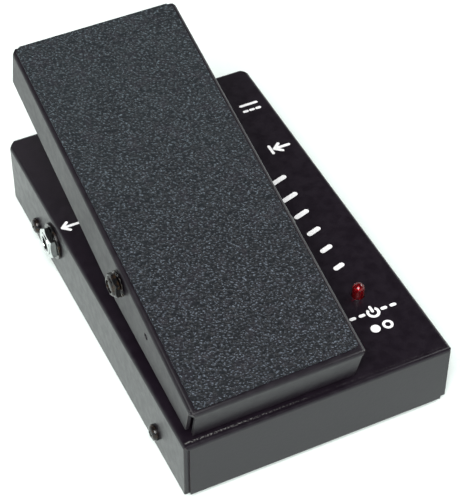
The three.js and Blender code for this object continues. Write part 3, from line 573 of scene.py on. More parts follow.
def plated(name, dark, light, low, high, scratches=0.010):
    """Plated or bright metal with fine scratches and uneven polish."""
    s = Shader(name, Metallic=1.0)
    cloud = s.noise(600, detail=4)
    s.colour(s.mix(s.span(cloud, 0.35, 0.65), dark, light))
    s.rough(s.span(s.noise(1800, detail=3), 0.3, 0.7, low, high))
    lines = s.noise(900, detail=3, stretch=(1.0, 14.0, 1.0))
    s.normal(s.bump(lines, scratches, strength=0.7))
    return s.material


def black_oxide():
    """Oiled black-oxide steel: glossy, with brown tints in patches."""
    s = Shader("black_hardware", IOR=1.4)
    cloud = s.span(s.noise(700, detail=4), 0.48, 0.70)
    s.colour(s.mix(cloud, (0.0050, 0.0050, 0.0056), (0.034, 0.020, 0.011)))
    s.metal(s.math("MULTIPLY", cloud, 0.4))
    s.rough(s.span(s.noise(2400, detail=3), 0.3, 0.7, 0.10, 0.20))
    s.normal(s.bump(s.noise(2600, detail=3), 0.012))
    return s.material


def moulded(name, dark, light, low, high, grain_mm=0.02, grain=2200, **sockets):
    """Moulded plastic or rubber: even colour with slight clouding and a fine surface grain."""
    s = Shader(name, **sockets)
    cloud = s.noise(300, detail=4)
    s.colour(s.mix(s.span(cloud, 0.35, 0.65), dark, light))
    s.rough(s.span(s.noise(1200, detail=3), 0.3, 0.7, low, high))
    s.normal(s.bump(s.noise(grain, detail=3), grain_mm))
    return s.material


def white_ink():
    """Screen-printed white: a thin matt film with pinholes and slightly uneven cover."""
    s = Shader("white_ink")
    cover = s.noise(1600, detail=3)
    pinholes = s.span(s.noise(5200, detail=1), 0.70, 0.76)
    base = s.mix(s.span(cover, 0.3, 0.7), (0.74, 0.74, 0.74), (0.88, 0.88, 0.88))
    s.colour(s.mix(s.math("MULTIPLY", pinholes, 0.5), base, (0.25, 0.25, 0.25)))
    s.rough(s.span(cover, 0.3, 0.7, 0.45, 0.60))
    s.normal(s.bump(cover, 0.01))
    return s.material


def circuit_laminate():
    """Green solder mask over rows of copper tracks."""
    s = Shader("board_laminate")
    tracks = s.add("ShaderNodeTexWave", wave_type="BANDS", bands_direction="X")
    s.feed(tracks.inputs["Vector"], s.place)
    set_inputs(tracks, Scale=120, Distortion=6, Detail=1)
    lines = s.span(tracks.outputs["Fac"], 0.72, 0.80)
    s.colour(s.mix(lines, (0.010, 0.075, 0.026), (0.022, 0.15, 0.055)))
    s.rough(s.span(s.noise(900), 0.3, 0.7, 0.35, 0.5))
    s.normal(s.bump(lines, 0.04))
    return s.material


def red_lens():
    """Tinted clear resin, faintly cloudy."""
    s = Shader("red_lens", IOR=1.5, Transmission_Weight=0.82)
    cloud = s.noise(700, detail=3)
    s.colour(s.mix(s.span(cloud, 0.35, 0.65), (0.30, 0.004, 0.008), (0.42, 0.007, 0.013)))
    s.rough(s.span(s.noise(1500, detail=2), 0.3, 0.7, 0.05, 0.12))
    s.normal(s.bump(s.noise(900, detail=2), 0.01))
    return s.material


MATERIAL = {
    "powder_coat": powder_coat("powder_coat"),
    "case_coat": powder_coat("case_coat", heel_edge_wear),
    "treadle_coat": powder_coat("treadle_coat", treadle_wear, 0.10),
    "edge_wear_and_highlight": edge_wear_and_highlight(),
    "cut_end_painted_shade": cut_end_painted_shade(),
    "grip_mat": grip_sheet(),
    "black_hardware": black_oxide(),
    "red_lens": red_lens(),
    "board_laminate": circuit_laminate(),
    "white_ink": white_ink(),
}
# Painted shade: a near-black matt finish for the faces inside the jack bores and the contact deep in them.
shade = (0.004, 0.004, 0.004), (0.007, 0.007, 0.008)
MATERIAL["socket_shade"] = moulded("socket_shade", *shade, 0.55, 0.75, IOR=1.3)
for look in (
    ("bright_chrome", (0.56, 0.59, 0.58), (0.70, 0.73, 0.72), 0.08, 0.20),
    ("zinc_hardware", (0.42, 0.42, 0.41), (0.58, 0.58, 0.56), 0.24, 0.38, 0.02),
):
    MATERIAL[look[0]] = plated(*look)
for look in (
    ("black_rubber", (0.010, 0.010, 0.011), (0.020, 0.020, 0.021), 0.62, 0.82, 0.03, 1600),
    ("natural_nylon", (0.58, 0.56, 0.48), (0.70, 0.68, 0.60), 0.38, 0.50),
    ("black_moulding", (0.010, 0.010, 0.011), (0.018, 0.018, 0.019), 0.38, 0.52),
    ("amber_lens", (0.55, 0.26, 0.05), (0.68, 0.36, 0.09), 0.12, 0.22),
    ("battery_wrap", (0.014, 0.014, 0.016), (0.030, 0.030, 0.034), 0.22, 0.34, 0.01, 700),
):
    MATERIAL[look[0]] = moulded(*look)

# ---- CAD nodes that stay

for node, obj in frame["nodes"].items():
    obj.data.materials.clear()
    obj.data.materials.append(MATERIAL[SLOT_OF[node]])
    for attribute in [a for a in obj.data.attributes if a.name == "custom_normal"]:
        obj.data.attributes.remove(attribute)
    for polygon in obj.data.polygons:
        polygon.use_smooth = True
    weld = obj.modifiers.new("weld", "WELD")
    weld.merge_threshold = WELD
    round_edges(obj, 0.12, 42)
    normals = obj.modifiers.new("normals", "WEIGHTED_NORMAL")
    normals.weight = 60

# ---- case cover


def case_cover():
    """One folded sheet: a top and four walls, open at the corners, with every hole in it."""
    inner_bend = BEND - SHEET
    floor = CASE_LOW.z
    cover = prism(bent_top(-SIDE_X, SIDE_X, floor, CASE_TOP, BEND), "y", -HALF_Y, HALF_Y)
    along = bent_top(-HALF_Y, HALF_Y, floor - 1, CASE_TOP, BEND)
    cover = combine(cover, prism(along, "x", -SIDE_X - 1, SIDE_X + 1), "INTERSECT")
    plan = cut_corners(SIDE_X, -HALF_Y, HALF_Y, CORNER["heel_cut"], CORNER["toe_cut"])
    cover = combine(cover, prism(plan, "z", floor - 2, CASE_TOP + 1), "INTERSECT")
    inner_x, inner_y = SIDE_X - SHEET, HALF_Y - SHEET
    hollow = prism(bent_top(-inner_x, inner_x, -4, CEILING, inner_bend), "y", -inner_y, inner_y)
    along = bent_top(-inner_y, inner_y, -3, CEILING, inner_bend)
    hollow = combine(hollow, prism(along, "x", -SIDE_X, SIDE_X), "INTERSECT")
    cover = combine(cover, hollow, "DIFFERENCE")

    slots = bmesh.new()
    top = CASE_TOP - BEND
    for side in (-1, 1):
        heel_end = CORNER["right_heel_end"] if side > 0 else CORNER["wall_end"]
        for inset, heel, toe in (
            (heel_end, -HALF_Y - 3, -HALF_Y + CORNER["side_heel"]),
            (CORNER["wall_end"], HALF_Y - CORNER["side_toe"], HALF_Y + 3),
        ):
            x = sorted((side * (SIDE_X - inset), side * (SIDE_X + 3)))
            add_prism(slots, box_points(x, (heel, toe)), "z", -6, top)
    cover = combine(cover, new_object("slots", slots), "DIFFERENCE")

    holes = bmesh.new()
    for side, name in ((-1, "output"), (1, "input")):
        at = centre(f"{name}_jack_nut")
        x = sorted((side * (SIDE_X - 4), side * (SIDE_X + 4)))
        add_prism(holes, circle(HOLE["audio"], 48, (at.y, at.z)), "x", *x)
        for end in ("heel", "toe"):
            at = centre(f"cover_screw_{'left' if side < 0 else 'right'}_{end}")
            add_prism(holes, circle(HOLE["cover_screw"], 32, (at.y, at.z)), "x", *x)
    at = centre("power_jack_nut")
    add_prism(holes, circle(HOLE["power"], 48, (at.y, at.z)), "x", SIDE_X - 4, SIDE_X + 4)
    through_top = (CEILING - 3, CASE_TOP + 3)
    at = centre("status_led")
    add_prism(holes, circle(HOLE["light"], 48, (at.x, at.y)), "z", *through_top)
    for side in ("left", "right"):
        at = centre(f"bracket_rivet_{side}")
        add_prism(holes, circle(HOLE["rivet"], 24, (at.x, at.y)), "z", *through_top)
    x = (PIVOT[0] - SHUTTER_SLOT["half_width"], PIVOT[0] + SHUTTER_SLOT["half_width"])
    add_prism(holes, box_points(x, (SHUTTER_SLOT["heel"], SHUTTER_SLOT["toe"])), "z", *through_top)
    cover = combine(cover, new_object("holes", holes), "DIFFERENCE")
    return finished(mark_cut_ends(tidy_mesh(cover), SIDE_X), "case_cover", edge_slot=1)


# Rounded edges take the painted highlight and wear; the side walls' cut ends take the painted shade.
EDGES = (MATERIAL["edge_wear_and_highlight"], MATERIAL["cut_end_painted_shade"])
fit(case_cover(), "base", MATERIAL["case_coat"], "base_cover", others=EDGES)

# ---- treadle


def treadle_side(inset, lower):
    """The treadle seen from its side: its lower edge from heel to toe, then its bent ends and flat top."""
    top, bend = TREADLE["top"] - inset, BEND - inset
    heel, toe = HEEL_END + inset, TOE_END - inset
    points = list(lower)
    points += arc(toe - bend, top - bend, bend, 0, QUARTER, BEND_STEPS)
    points += arc(heel + bend, top - bend, bend, QUARTER, 2 * QUARTER, BEND_STEPS)
    return points


def treadle_shell():
    """One folded plate: its top, two long flanges and two short ones, open at the corners."""
    top, half = TREADLE["top"], TREADLE["half"]
    end_z = top - FLANGE["end"]
    side_heel, side_toe = HEEL_END + RELIEF["step"], TOE_END - RELIEF["step"]
    deep = top - FLANGE["apex"] - 5
    edge = [
        (HEEL_END - FLANGE["flare"], end_z), (side_heel, end_z), (side_heel, top - FLANGE["heel"]),
        (HEEL_END + FLANGE["apex_from_heel"], top - FLANGE["apex"]),
        (side_toe, top - FLANGE["toe"]), (side_toe, end_z), (TOE_END, end_z),
    ]
    shell = prism(treadle_side(0, edge), "x", -half, half)
    across = bent_top(-half, half, deep, top, BEND)
    shell = combine(shell, prism(across, "y", HEEL_END - 2, TOE_END + 1), "INTERSECT")
    plan = cut_corners(half, HEEL_END - FLANGE["flare"], TOE_END, RELIEF["heel_cut"], RELIEF["toe_cut"])
    shell = combine(shell, prism(plan, "z", deep - 1, top + 1), "INTERSECT")
    inner = half - SHEET
    bottom = [(HEEL_END + SHEET - 2 * FLANGE["flare"], deep - 2), (TOE_END - SHEET, deep - 2)]
    hollow = prism(treadle_side(SHEET, bottom), "x", -inner, inner)
    across = bent_top(-inner, inner, deep - 3, top - SHEET, BEND - SHEET)
    hollow = combine(hollow, prism(across, "y", HEEL_END - 3, TOE_END), "INTERSECT")
    shell = combine(shell, hollow, "DIFFERENCE")

    slots = bmesh.new()
    below = top - BEND
    for side in (-1, 1):
        taper = RELIEF["right_taper"] if side > 0 else 0.0
        relief = [
            (side * (half + 3), below), (side * (half + 3), deep - 4),
            (side * (half - RELIEF["end"] - 2 * taper), deep - 4),
            (side * (half - RELIEF["end"] - taper), end_z),
            (side * (half - RELIEF["end"]), below),
        ]
        add_prism(slots, relief, "y", HEEL_END - 3, HEEL_END + RELIEF["side"])
        add_prism(slots, relief, "y", TOE_END - RELIEF["side"], TOE_END + 3)
    shell = combine(shell, new_object("slots", slots), "DIFFERENCE")

    holes = bmesh.new()
    for side in (-1, 1):
        x = sorted((side * (half - 4), side * (half + 4)))
        add_prism(holes, circle(HOLE["pivot"], 32), "x", *x)
        add_prism(holes, circle(HOLE["side"], 32, (SIDE_HOLE_Y, 0)), "x", *x)
    shell = combine(shell, new_object("holes", holes), "DIFFERENCE")
    shell.matrix_world = TREADLE_PLACE
    return finished(mark_cut_ends(tidy_mesh(shell), half), "treadle_shell", edge_slot=1)


def grip_mat():
    """The mat, a hair above the treadle's top."""
    half, toe = TREADLE["half"], TOE_END - MARGIN["toe"]
    left_heel, left_toe, right = MARGIN["left_heel"] - half, MARGIN["left_toe"] - half, half - MARGIN["right"]
    heel_left, heel_right = HEEL_END + MARGIN["heel_left"], HEEL_END + MARGIN["heel_right"]
    heel_cut, toe_cut = MAT["heel_cut"], MAT["toe_cut"]
    plan = [
        (left_heel + heel_cut, heel_left), (right - heel_cut, heel_right), (right, heel_right + heel_cut),
        (right, toe - toe_cut), (right - toe_cut, toe), (left_toe + toe_cut, toe),
        (left_toe, toe - toe_cut), (left_heel, heel_left + heel_cut),
    ]
    plan = soften(plan, 0.5, closed=True)
    low, high = TREADLE["top"] + MAT["gap"] - 0.28, TREADLE["top"] + MAT["gap"] + MAT["thickness"]
    bm = bmesh.new()
    add_prism(bm, plan, "z", low, high)
    return finished(new_object("grip_mat", bm, TREADLE_PLACE), "grip_mat", edge=0.2, segments=3, angle=60)


shell = fit(treadle_shell(), "treadle", MATERIAL["treadle_coat"], "treadle_plate", others=EDGES)
fit(grip_mat(), "treadle", MATERIAL["grip_mat"], "treadle_mat")

# ---- fasteners


def hex_body(flats, low, high, bore, chamfer_low=0.0, chamfer_high=0.8):
    """A hexagon about Z, its corners turned to a cone at each end, with a chamfered bore through it."""
    corner = flats / math.sqrt(3)
    body = prism(circle(corner, 6), "z", low, high)
    slope = 0.58  # a chamfer of 30 degrees
    cone = [(0, low), (corner - chamfer_low, low), (corner, low + chamfer_low * slope + 0.01)]
    cone += [(corner, high - chamfer_high * slope), (corner - chamfer_high, high), (0, high)]
    body = combine(body, turned(cone, 96), "INTERSECT")
    if bore:
        lip = 0.35
        wide = bore + lip + 1
        cut = [(0, low - 1), (wide, low - 1), (bore, low + lip)]
        cut += [(bore, high - lip), (wide, high + 1), (0, high + 1)]
        body = combine(body, turned(cut, 64), "DIFFERENCE")
    return body


def threaded(radius, low, high, pitch=0.5, depth=0.16):
    """Profile points up a threaded shank, from low to high."""
    points = []
    height = low
    while height + pitch < high:
        points += [(radius - depth, height), (radius, height + pitch * 0.5)]
        height += pitch
    return [*points, (radius - depth, height), (radius - depth, high)]


def pan_screw(head, height, shank, length):
    """A pan-head screw about +Z with a cross recess. Its head stands on height 0."""
    profile = [(0, -length), (shank - 0.5, -length), (shank - 0.15, -length + 0.6)]
    profile += threaded(shank, -length + 0.6, -0.6)
    profile += [(shank - 0.1, 0), (head, 0)]
    crown = ((1, 0.34), (0.97, 0.56), (0.86, 0.80), (0.62, 0.95), (0.3, 1), (0, 1))
    profile += [(head * across, height * up) for across, up in crown]
    screw = turned(profile, 64)
    wide, long = 0.95, head * 1.12
    corners = ((-1, -1), (1, -1), (1, 1), (-1, 1))
    for x, y in ((long, wide), (wide, long)):
        arm = bmesh.new()
        lower = [arm.verts.new((sx * x * 0.3, sy * y * 0.3, height - 1.3)) for sx, sy in corners]
        upper = [arm.verts.new((sx * x * 0.5, sy * y * 0.5, height + 0.4)) for sx, sy in corners]
        arm.faces.new(lower)
        arm.faces.new(upper)
        for i in range(4):
            j = (i + 1) % 4
            arm.faces.new((lower[i], lower[j], upper[j], upper[i]))
        screw = combine(screw, new_object("arm", arm), "DIFFERENCE")
    return tidy_mesh(screw)


for side, side_name in SIDES:
    for end in ("heel", "toe"):
        node = f"cover_screw_{side_name}_{end}"
        at = centre(node)
        screw = pan_screw(3.4, 2.3, 1.7, 6.8)
        turn = Matrix.Rotation({"heel": 0.4, "toe": 1.1}[end] + side * 0.2, 4, "Z")
        screw.matrix_world = facing_matrix(side, (side * (SIDE_X + 0.05), at.y, at.z)) @ turn
        fit_fine(screw, node, "base", "black_hardware", edge=0.07)

# ---- pivot hardware


def toothed_washer(low, high):
    """An external-tooth lock washer: each tooth is twisted a little out of the ring's plane."""
    teeth, inner, root, outer = 12, 2.75, 4.35, 5.4
    per_tooth = 8
    tooth = (0.06, 0.70)  # the part of each tooth's pitch that it fills
    twist = 1.1 * 0.35
    bm = bmesh.new()
    steps = teeth * per_tooth
    rings = [[], [], []]
    for i in range(steps):
        angle = 2 * math.pi * i / steps
        phase = (i % per_tooth) / per_tooth
        in_tooth = tooth[0] < phase < tooth[1]
        tip = outer if in_tooth else root + 0.12
        lift = (phase - 0.38) * twist if in_tooth else 0.0
        for ring, radius, rise in zip(rings, (inner, root, tip), (0.0, 0.0, lift)):
            ring.append((radius * math.cos(angle), radius * math.sin(angle), rise))
    half = (high - low) / 4
    middle = (low + high) / 2
    lower = [[bm.verts.new((x, y, middle - half + rise)) for x, y, rise in ring] for ring in rings]
    upper = [[bm.verts.new((x, y, middle + half + rise)) for x, y, rise in ring] for ring in rings]
    for i in range(steps):
        j = (i + 1) % steps
        for a, b in ((0, 1), (1, 2)):
            bm.faces.new((upper[a][i], upper[a][j], upper[b][j], upper[b][i]))
            bm.faces.new((lower[a][i], lower[a][j], lower[b][j], lower[b][i]))
        bm.faces.new((upper[0][i], upper[0][j], lower[0][j], lower[0][i]))
        bm.faces.new((upper[2][i], upper[2][j], lower[2][j], lower[2][i]))
    return new_object("washer", bm)


def lock_nut(low, high):
    """A hexagon under a domed collar, bored through."""
    body = hex_body(LOCK_FLATS, low, high - 0.9, 0, 0.3, 1.1)
    dome = ((4.3, 1.25), (4.2, 0.85), (3.95, 0.48), (3.55, 0.18), (3.1, 0.03), (2.9, 0))
    collar = [(0, low + 1), (4.3, low + 1), *((radius, high - down) for radius, down in dome), (0, high)]
    body = combine(body, turned(collar, 64), "UNION")
    cut = [(0, low - 1), (NUT_BORE, low - 1), (NUT_BORE, high - 0.1), (2.9, high + 0.1), (0, high + 0.1)]
    return tidy_mesh(combine(body, turned(cut, 48), "DIFFERENCE"))


def button_bolt(seat, crown, end):
    """A low button-head bolt with a hexagon socket."""
    profile = [(0, end), (2.05, end), (2.25, end + 0.4), *threaded(SHANK, end + 0.4, seat - 1)]
    profile += [(2.3, seat), (4.2, seat), (4.2, seat + 0.45), (3.8, seat + 0.8)]
    profile += [(2.9, crown - 0.2), (2.3, crown - 0.03), (0, crown)]
    body = turned(profile, 72)
    socket = prism(circle(1.25 / math.cos(math.pi / 6), 6), "z", crown - 1.0, crown + 1)
    return tidy_mesh(combine(body, socket, "DIFFERENCE"))


def pivot_pieces(side):
    """Bolt, jam nut, washer and lock nut, outward from the middle. The right bolt is turned round."""
    stack = RIGHT if side > 0 else LEFT
    if side > 0:
        nut = lock_nut(0, RIGHT_LOCK_NUT["height"])
        turned_round = Matrix.Rotation(math.pi, 4, "X")
        nut.data.transform(Matrix.Translation((0, 0, RIGHT_LOCK_NUT["outer"] * MM)) @ turned_round)
        bolt = button_bolt(RIGHT["seat"], RIGHT["crown"], RIGHT["end"])
    else:
        low, high = LEFT["head"]
        thread = threaded(SHANK, high, LEFT["thread_end"])
        shank = turned([(0, high - 1), (2.25, high - 1), *thread, *LEFT["tip"]], 48)
        bolt = tidy_mesh(combine(hex_body(HEX_FLATS, low, high, 0, 0.7, 0.2), shank, "UNION"))
    jam = hex_body(HEX_FLATS, *stack["jam_nut"], NUT_BORE, 0.5, 0.5)
    washer = toothed_washer(*stack["washer"])
    if side < 0:
        nut = lock_nut(*LEFT["lock_nut"])
    return bolt, jam, washer, nut


for side, side_name in SIDES:
    place = TREADLE_PLACE @ Matrix.Rotation(side * QUARTER, 4, "Y")
    bolt, jam, washer, nut = pivot_pieces(side)
    for obj, node, slot_name, turn in (
        (nut, f"pivot_lock_nut_{side_name}", "black_hardware", 0.35),
        (washer, f"pivot_washer_{side_name}", "black_hardware", 0.1),
        (jam, f"pivot_jam_nut_{side_name}", "zinc_hardware", 0.7),
        (bolt, f"pivot_bolt_{side_name}", "black_hardware", 0.2),
    ):
        obj.matrix_world = place @ Matrix.Rotation(turn, 4, "Z")
        fit_fine(obj, node, "treadle", slot_name, edge=0.0 if obj is washer else 0.1)

# ---- sockets


def audio_socket(name, side):
    """The threaded bushing, its nut and washer, and the body with its spring contact."""
    at = centre(f"{name}_jack_nut")
    place = facing_matrix(side, (side * SIDE_X, at.y, at.z))
    bore = AUDIO["bore"]
    bushing = [(bore, -2.9), (6.6, -2.9), (6.6, -1.95), (4.45, -1.95)]
    bushing += threaded(AUDIO["thread"], -1.7, 3.9, 0.55, 0.15)
    bushing += [(4.42, 4.05), (4.28, 4.28), (4.02, 4.42), (3.75, 4.45)]
    bushing += [(3.5, 4.38), (3.33, 4.18), (bore, 3.9)]
    nut = hex_body(AUDIO["nut_flats"], *AUDIO["nut"], AUDIO["thread"] + 0.15, 0.5, 1.1)
    washer = turned([(4.9, 0.05), (8.0, 0.05), (8.0, 1.1), (4.9, 1.1)], 96, 0.22)
    front, back = -3.2, -24.2
    body = prism(soften(box_points((-6.8, 6.8), (-8, 8)), 1.2, True), "z", back, front)
    bore_cut = [(0, -22.1), (bore, -22.1), (bore, front + 1), (0, front + 1)]
    body = combine(body, turned(bore_cut, 48), "DIFFERENCE")
    lugs = bmesh.new()
    for y in (-5, 0, 5):
        add_prism(lugs, box_points((-0.4, 0.4), (y - 1, y + 1)), "z", back - 4, back + 1)
    body = combine(body, new_object("lugs", lugs), "UNION")
    contact = bmesh.new()
    leaf = [(-3.2, -9.0), (-2.4, -11.0), (-1.5, -13.5), (-1.25, -15.0), (-1.9, -17.0), (-3.0, -20.5)]
    outline = leaf + [(x - 0.35, z) for x, z in reversed(leaf)]
    add_prism(contact, outline, "y", -1.5, 1.5)
    contact = new_object("contact", contact)
    for obj, node, slot_name, edge in (
        (mark_bore(turned(bushing, 96), bore + 0.05), f"{name}_jack_bushing", "bright_chrome", 0.0),
        (nut, f"{name}_jack_nut", "bright_chrome", 0.12),
        (washer, f"{name}_jack_washer", "black_hardware", 0.0),
        (body, f"{name}_jack", "black_moulding", 0.2),
    ):
        obj.matrix_world = place @ Matrix.Rotation(AUDIO["nut_turn"], 4, "Z") if obj is nut else place
        fit_fine(tidy_mesh(obj), node, "base", slot_name, edge, others=(MATERIAL["socket_shade"],))
    # The contact is painted near-black as shade in the bore, not in the colour of its metal.
    contact.matrix_world = place
    contact = finished(contact, f"{name}_jack_contact", edge=0.08)
    fit(contact, "base", MATERIAL["socket_shade"])


audio_socket("output", -1)
audio_socket("input", 1)


def power_inlet():
    """The inlet's moulded body and barrel, its notched ring nut and its pin."""
    at = centre("power_jack_nut")
    place = facing_matrix(1, (SIDE_X, at.y, at.z))
    body = prism(soften(box_points((-6, 6), (-5.5, 5.5)), 0.8, True), "z", -14.1, -1.9)
    barrel = [(0, -2.9), (4.9, -2.9), *threaded(4.9, -1.9, 1.7, 0.6, 0.12), (4.75, 2.0), (4.5, 2.2), (0, 2.2)]
    body = combine(body, turned(barrel, 96), "UNION")
    cut = [(0, -9.2), (2.9, -9.2), (2.9, 1.75), (3.5, 2.4), (0, 2.4)]
    body = combine(body, turned(cut, 64), "DIFFERENCE")
    nut = turned([(5.15, 0.05), (6.8, 0.05), (6.8, 1.9), (5.15, 1.9)], 96, 0.3)
    notches = bmesh.new()
    for i in range(4):
        angle = QUARTER * i + 0.4
        x, y = 6.8 * math.cos(angle), 6.8 * math.sin(angle)
        add_prism(notches, circle(0.85, 20, (x, y)), "z", -1, 3)
    nut = combine(nut, new_object("notches", notches), "DIFFERENCE")
    pin = turned([(0, -8.9), (1.0, -8.9), (1.0, 1.0), (0.9, 1.35), (0.6, 1.55), (0, 1.6)], 40)
    for obj, node, slot_name, edge in (
        (body, "power_jack", "black_moulding", 0.15),
        (nut, "power_jack_nut", "black_moulding", 0.1),
        (pin, "power_jack_pin", "bright_chrome", 0.0),
    ):
        obj.matrix_world = place
        fit_fine(tidy_mesh(obj), node, "base", slot_name, edge)


power_inlet()

# ---- status light


def status_light():
    """A clear red lens with its cup and post moulded inside."""
    at = centre("status_led")
    low, high = node_box("status_led")
    radius = 2.5
    dome = high.z - radius
    rim = ((0, 0), (2.9, 0), (2.95, 0.1), (2.95, 0.9), (2.85, 1.0), (radius, 1.0))
    profile = [(across, low.z + up) for across, up in rim]
    profile += [*arc(0, dome, radius, 0, QUARTER, 14)[:-1], (0, high.z)]
    lens = turned(profile, 72)
    foot, cup_top = low.z + 0.3, dome - 0.3
    stem = [(0, foot), (0.35, foot), (0.35, cup_top - 1.3)]
    bowl = [(1.0, cup_top), (0.8, cup_top), (0.35, cup_top - 0.7), (0, cup_top - 0.7)]
    cup = turned(stem + bowl, 32)
    post = bmesh.new()
    add_prism(post, box_points((-0.25, 0.25), (1.15, 1.65)), "z", foot, cup_top - 0.4)
    add_prism(post, box_points((-0.5, 0.5), (0.95, 1.85)), "z", low.z + 1.6, cup_top - 1.4)
    post = new_object("post", post)
    lens.matrix_world = upright(at)
    fit(finished(lens, "led_lens", edge=0), "base", MATERIAL["red_lens"], "status_led")
    for obj, name in ((cup, "led_cup"), (post, "led_post")):
        obj.matrix_world = upright(at)
        fit(finished(obj, name, edge=0.05), "base", MATERIAL["zinc_hardware"])


status_light()

# ---- feet and stops

for side, side_name in SIDES:
    for end in ("heel", "toe"):
        at = centre(f"rubber_foot_{side_name}_{end}")
        outside = [(3.2, 0), (7.0, 0), (7.6, 0.35), (8.0, 1.0), (8.0, 3.1)]
        foot = turned([*outside, (1.8, 3.1), (1.8, 1.7), (3.2, 1.7)], 72, 0.25)
        foot.matrix_world = upright(at)
        fit_fine(foot, f"rubber_foot_{side_name}_{end}", "base", "black_rubber", edge=0.05)
        screw = pan_screw(2.7, 1.0, 1.4, 3.6)
        screw.matrix_world = upright(at, 1.4) @ Matrix.Rotation(math.pi, 4, "X")
        fit_fine(screw, f"foot_screw_{side_name}_{end}", "base", "zinc_hardware", edge=0.05)

for node in ("heel_bumper", "toe_bumper_left", "toe_bumper_right"):
    low, high = node_box(node)
    at = centre(node)
    radius, height = (high.x - low.x) / 2, high.z - low.z
    profile = [(0, 0), (radius, 0), (radius, 0.8), (radius - 0.3, 1.2)]
    profile += [(radius - 0.8, height - 1.4), (radius - 1.6, height - 0.45), (0, height)]
    bumper = turned(profile, 64, 0.5)
    bumper.matrix_world = upright(at, low.z)
    fit_fine(bumper, node, "base", "black_rubber")

# ---- printed marks


class Marks:
    """Flat strokes on the case's top, each a hair thicker than the last, so that none coincide."""

    THICKNESS = 0.03
    HAIR = 0.0004
    CLEAR = 0.005
    STEPS = 32

    def __init__(self):
        self.bm = bmesh.new()
        self.rise = self.THICKNESS

    def plate(self, outline):
        self.rise += self.HAIR
        add_prism(self.bm, outline, "z", CASE_TOP + self.CLEAR, CASE_TOP + self.rise)

    def stroke(self, points, width):
        for (ax, ay), (bx, by) in zip(points, points[1:]):
            angle = math.atan2(by - ay, bx - ax)
            outline = arc(bx, by, width / 2, angle - QUARTER, angle + QUARTER, 8)
            outline += arc(ax, ay, width / 2, angle + QUARTER, angle + 3 * QUARTER, 8)
            self.plate(outline)

    def ring(self, cx, cy, radius, width, start=0.0, sweep=2 * math.pi):
        last = self.STEPS
        outer = arc(cx, cy, radius + width / 2, start, start + sweep, last)
        inner = arc(cx, cy, radius - width / 2, start + sweep, start, last)
        if sweep < 2 * math.pi - 0.01:
            self.plate(outer + inner)
            return
        self.rise += self.HAIR
        for i in range(last):
            quad = [outer[i], outer[i + 1], inner[last - 1 - i], inner[last - i]]
            add_prism(self.bm, quad, "z", CASE_TOP + self.CLEAR, CASE_TOP + self.rise)


def arrow(marks, tip, tail, y, head, width):
    """A level arrow from tail to tip. head is the barbs' share of its length."""
    back, spread = tip + (tail - tip) * head, 2.3
    marks.stroke([(tail, y), (tip, y)], width)
    marks.stroke([(back, y + spread), (tip, y), (back, y - spread)], width)


def printed_marks():
    """The plain signs on the case's top. All places are in millimetres, in the frame."""
    marks = Marks()
    # Power inlet: the direct-current sign.
    marks.stroke([(43.9, 69.1), (51.4, 69.1)], 1.4)
    for x in (43.9, 46.9, 49.9):
        marks.stroke([(x, 65.3), (x + 1.4, 65.3)], 1.4)
    # Input: an arrow pointing in from the right edge.
    arrow(marks, 45.2, 52.0, 38.5, 0.42, 1.4)
    marks.stroke([(43.6, 36.2), (43.6, 40.8)], 1.3)
    # Output: an arrow pointing out over the left edge.
    arrow(marks, -55.0, -46.0, 33.2, 0.30, 1.3)
    # Level: six slanted strokes, longer towards the toe.
    scale_x, slant = 37.6, 0.3
    for step in range(6):
        y = -34.8 + 11.0 * step
        reach = 1.5 + 0.36 * step
        marks.stroke([(scale_x - reach, y - slant * reach), (scale_x + reach, y + slant * reach)], 2.3)
    # Status light: a power sign between short dashes, over a full and an open dot.
    power_x = 38.2
    for x in (29.2, 33.3):
        for place in (x, 2 * power_x - x):
            marks.stroke([(place - 0.7, -62.2), (place + 0.7, -62.2)], 1.5)
    gap = math.radians(40)
    marks.ring(power_x, -62.5, 2.2, 1.2, QUARTER + gap, 2 * math.pi - 2 * gap)
    marks.stroke([(power_x, -61.9), (power_x, -59.5)], 1.2)
    marks.plate(circle(2.0, 40, (34.9, -70.4)))
    marks.ring(40.4, -70.4, 1.7, 1.1)
    return new_object("printed_marks", marks.bm)


fit(printed_marks(), "base", MATERIAL["white_ink"])

# ---- floor, light and camera


def floor():
    """A plain pale floor with rounded corners, far larger than the view."""
    reach = (-4000, 4000)
    bm = bmesh.new()
    add_prism(bm, soften(box_points(reach, reach), 500, True), "z", -20, 0)
    obj = new_object("floor", bm)
    s = Shader("floor", Specular_IOR_Level=0.2)
    grain = s.noise(6, detail=5)
    s.colour(s.mix(grain, (0.85, 0.925, 0.89), (0.87, 0.945, 0.91)))
    s.rough(s.span(s.noise(40, detail=3), 0.3, 0.7, 0.75, 0.85))
    s.normal(s.bump(s.noise(900, detail=2), 0.02))
    obj.data.materials.append(s.material)


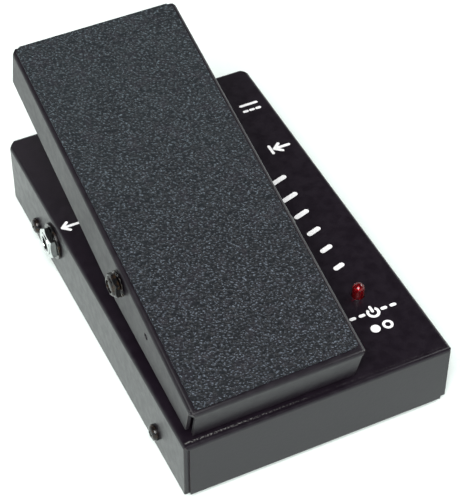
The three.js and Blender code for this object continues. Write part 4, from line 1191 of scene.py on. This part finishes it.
def softbox(name, at, size, power, target=(0, 0, 0.03)):
    """A rectangular soft light that faces the object. Metres and watts."""
    data = bpy.data.lights.new(name, "AREA")
    data.shape = "RECTANGLE"
    data.size, data.size_y = size
    data.energy = power
    lamp = bpy.data.objects.new(name, data)
    bpy.context.scene.collection.objects.link(lamp)
    lamp.location = at
    lamp.rotation_euler = (Vector(target) - Vector(at)).to_track_quat("-Z", "Y").to_euler()


def studio():
    """A pale low surround under a dim ceiling, as in a small product studio."""
    world = bpy.data.worlds.new("studio")
    bpy.context.scene.world = world
    world.use_nodes = True
    tree = world.node_tree
    place = tree.nodes.new("ShaderNodeTexCoord")
    split = tree.nodes.new("ShaderNodeSeparateXYZ")
    height = tree.nodes.new("ShaderNodeMapRange")
    height.interpolation_type = "SMOOTHSTEP"
    tree.links.new(place.outputs["Generated"], split.inputs[0])
    tree.links.new(split.outputs["Z"], height.inputs["Value"])
    set_inputs(height, From_Min=0.22, From_Max=0.54, To_Min=1.0, To_Max=0.035)
    background = tree.nodes["Background"]
    set_inputs(background, Color=(0.97, 0.985, 1.0, 1.0))
    tree.links.new(height.outputs["Result"], background.inputs["Strength"])
    softbox("key", (-0.9, -1.2, 1.9), (1.5, 1.5), 94)
    softbox("fill", (2.2, 0.3, 1.5), (1.2, 1.0), 28)
    softbox("back", (-0.1, 2.0, 1.3), (1.2, 0.8), 4)


def camera():
    """The view's own position and lens, from solving the object's edges."""
    right = Vector((0.900469, -0.434868, 0.006708))
    down = Vector((-0.311625, -0.655879, -0.687541))
    forward = Vector((0.303389, 0.617019, -0.726115))
    turn = Matrix((right, -down, -forward)).transposed().to_4x4()
    data = bpy.data.cameras.new("camera")
    data.sensor_fit = "AUTO"
    data.sensor_width = 36.0
    data.lens = 129.66
    data.shift_x = -0.015
    data.shift_y = 0.0182
    data.clip_start, data.clip_end = 0.01, 20.0
    obj = bpy.data.objects.new("camera", data)
    bpy.context.scene.collection.objects.link(obj)
    obj.matrix_world = Matrix.Translation((-0.21881, -0.46345, 0.56169)) @ turn
    bpy.context.scene.camera = obj


floor()
studio()
camera()
bpy.context.scene.view_settings.view_transform = "Standard"
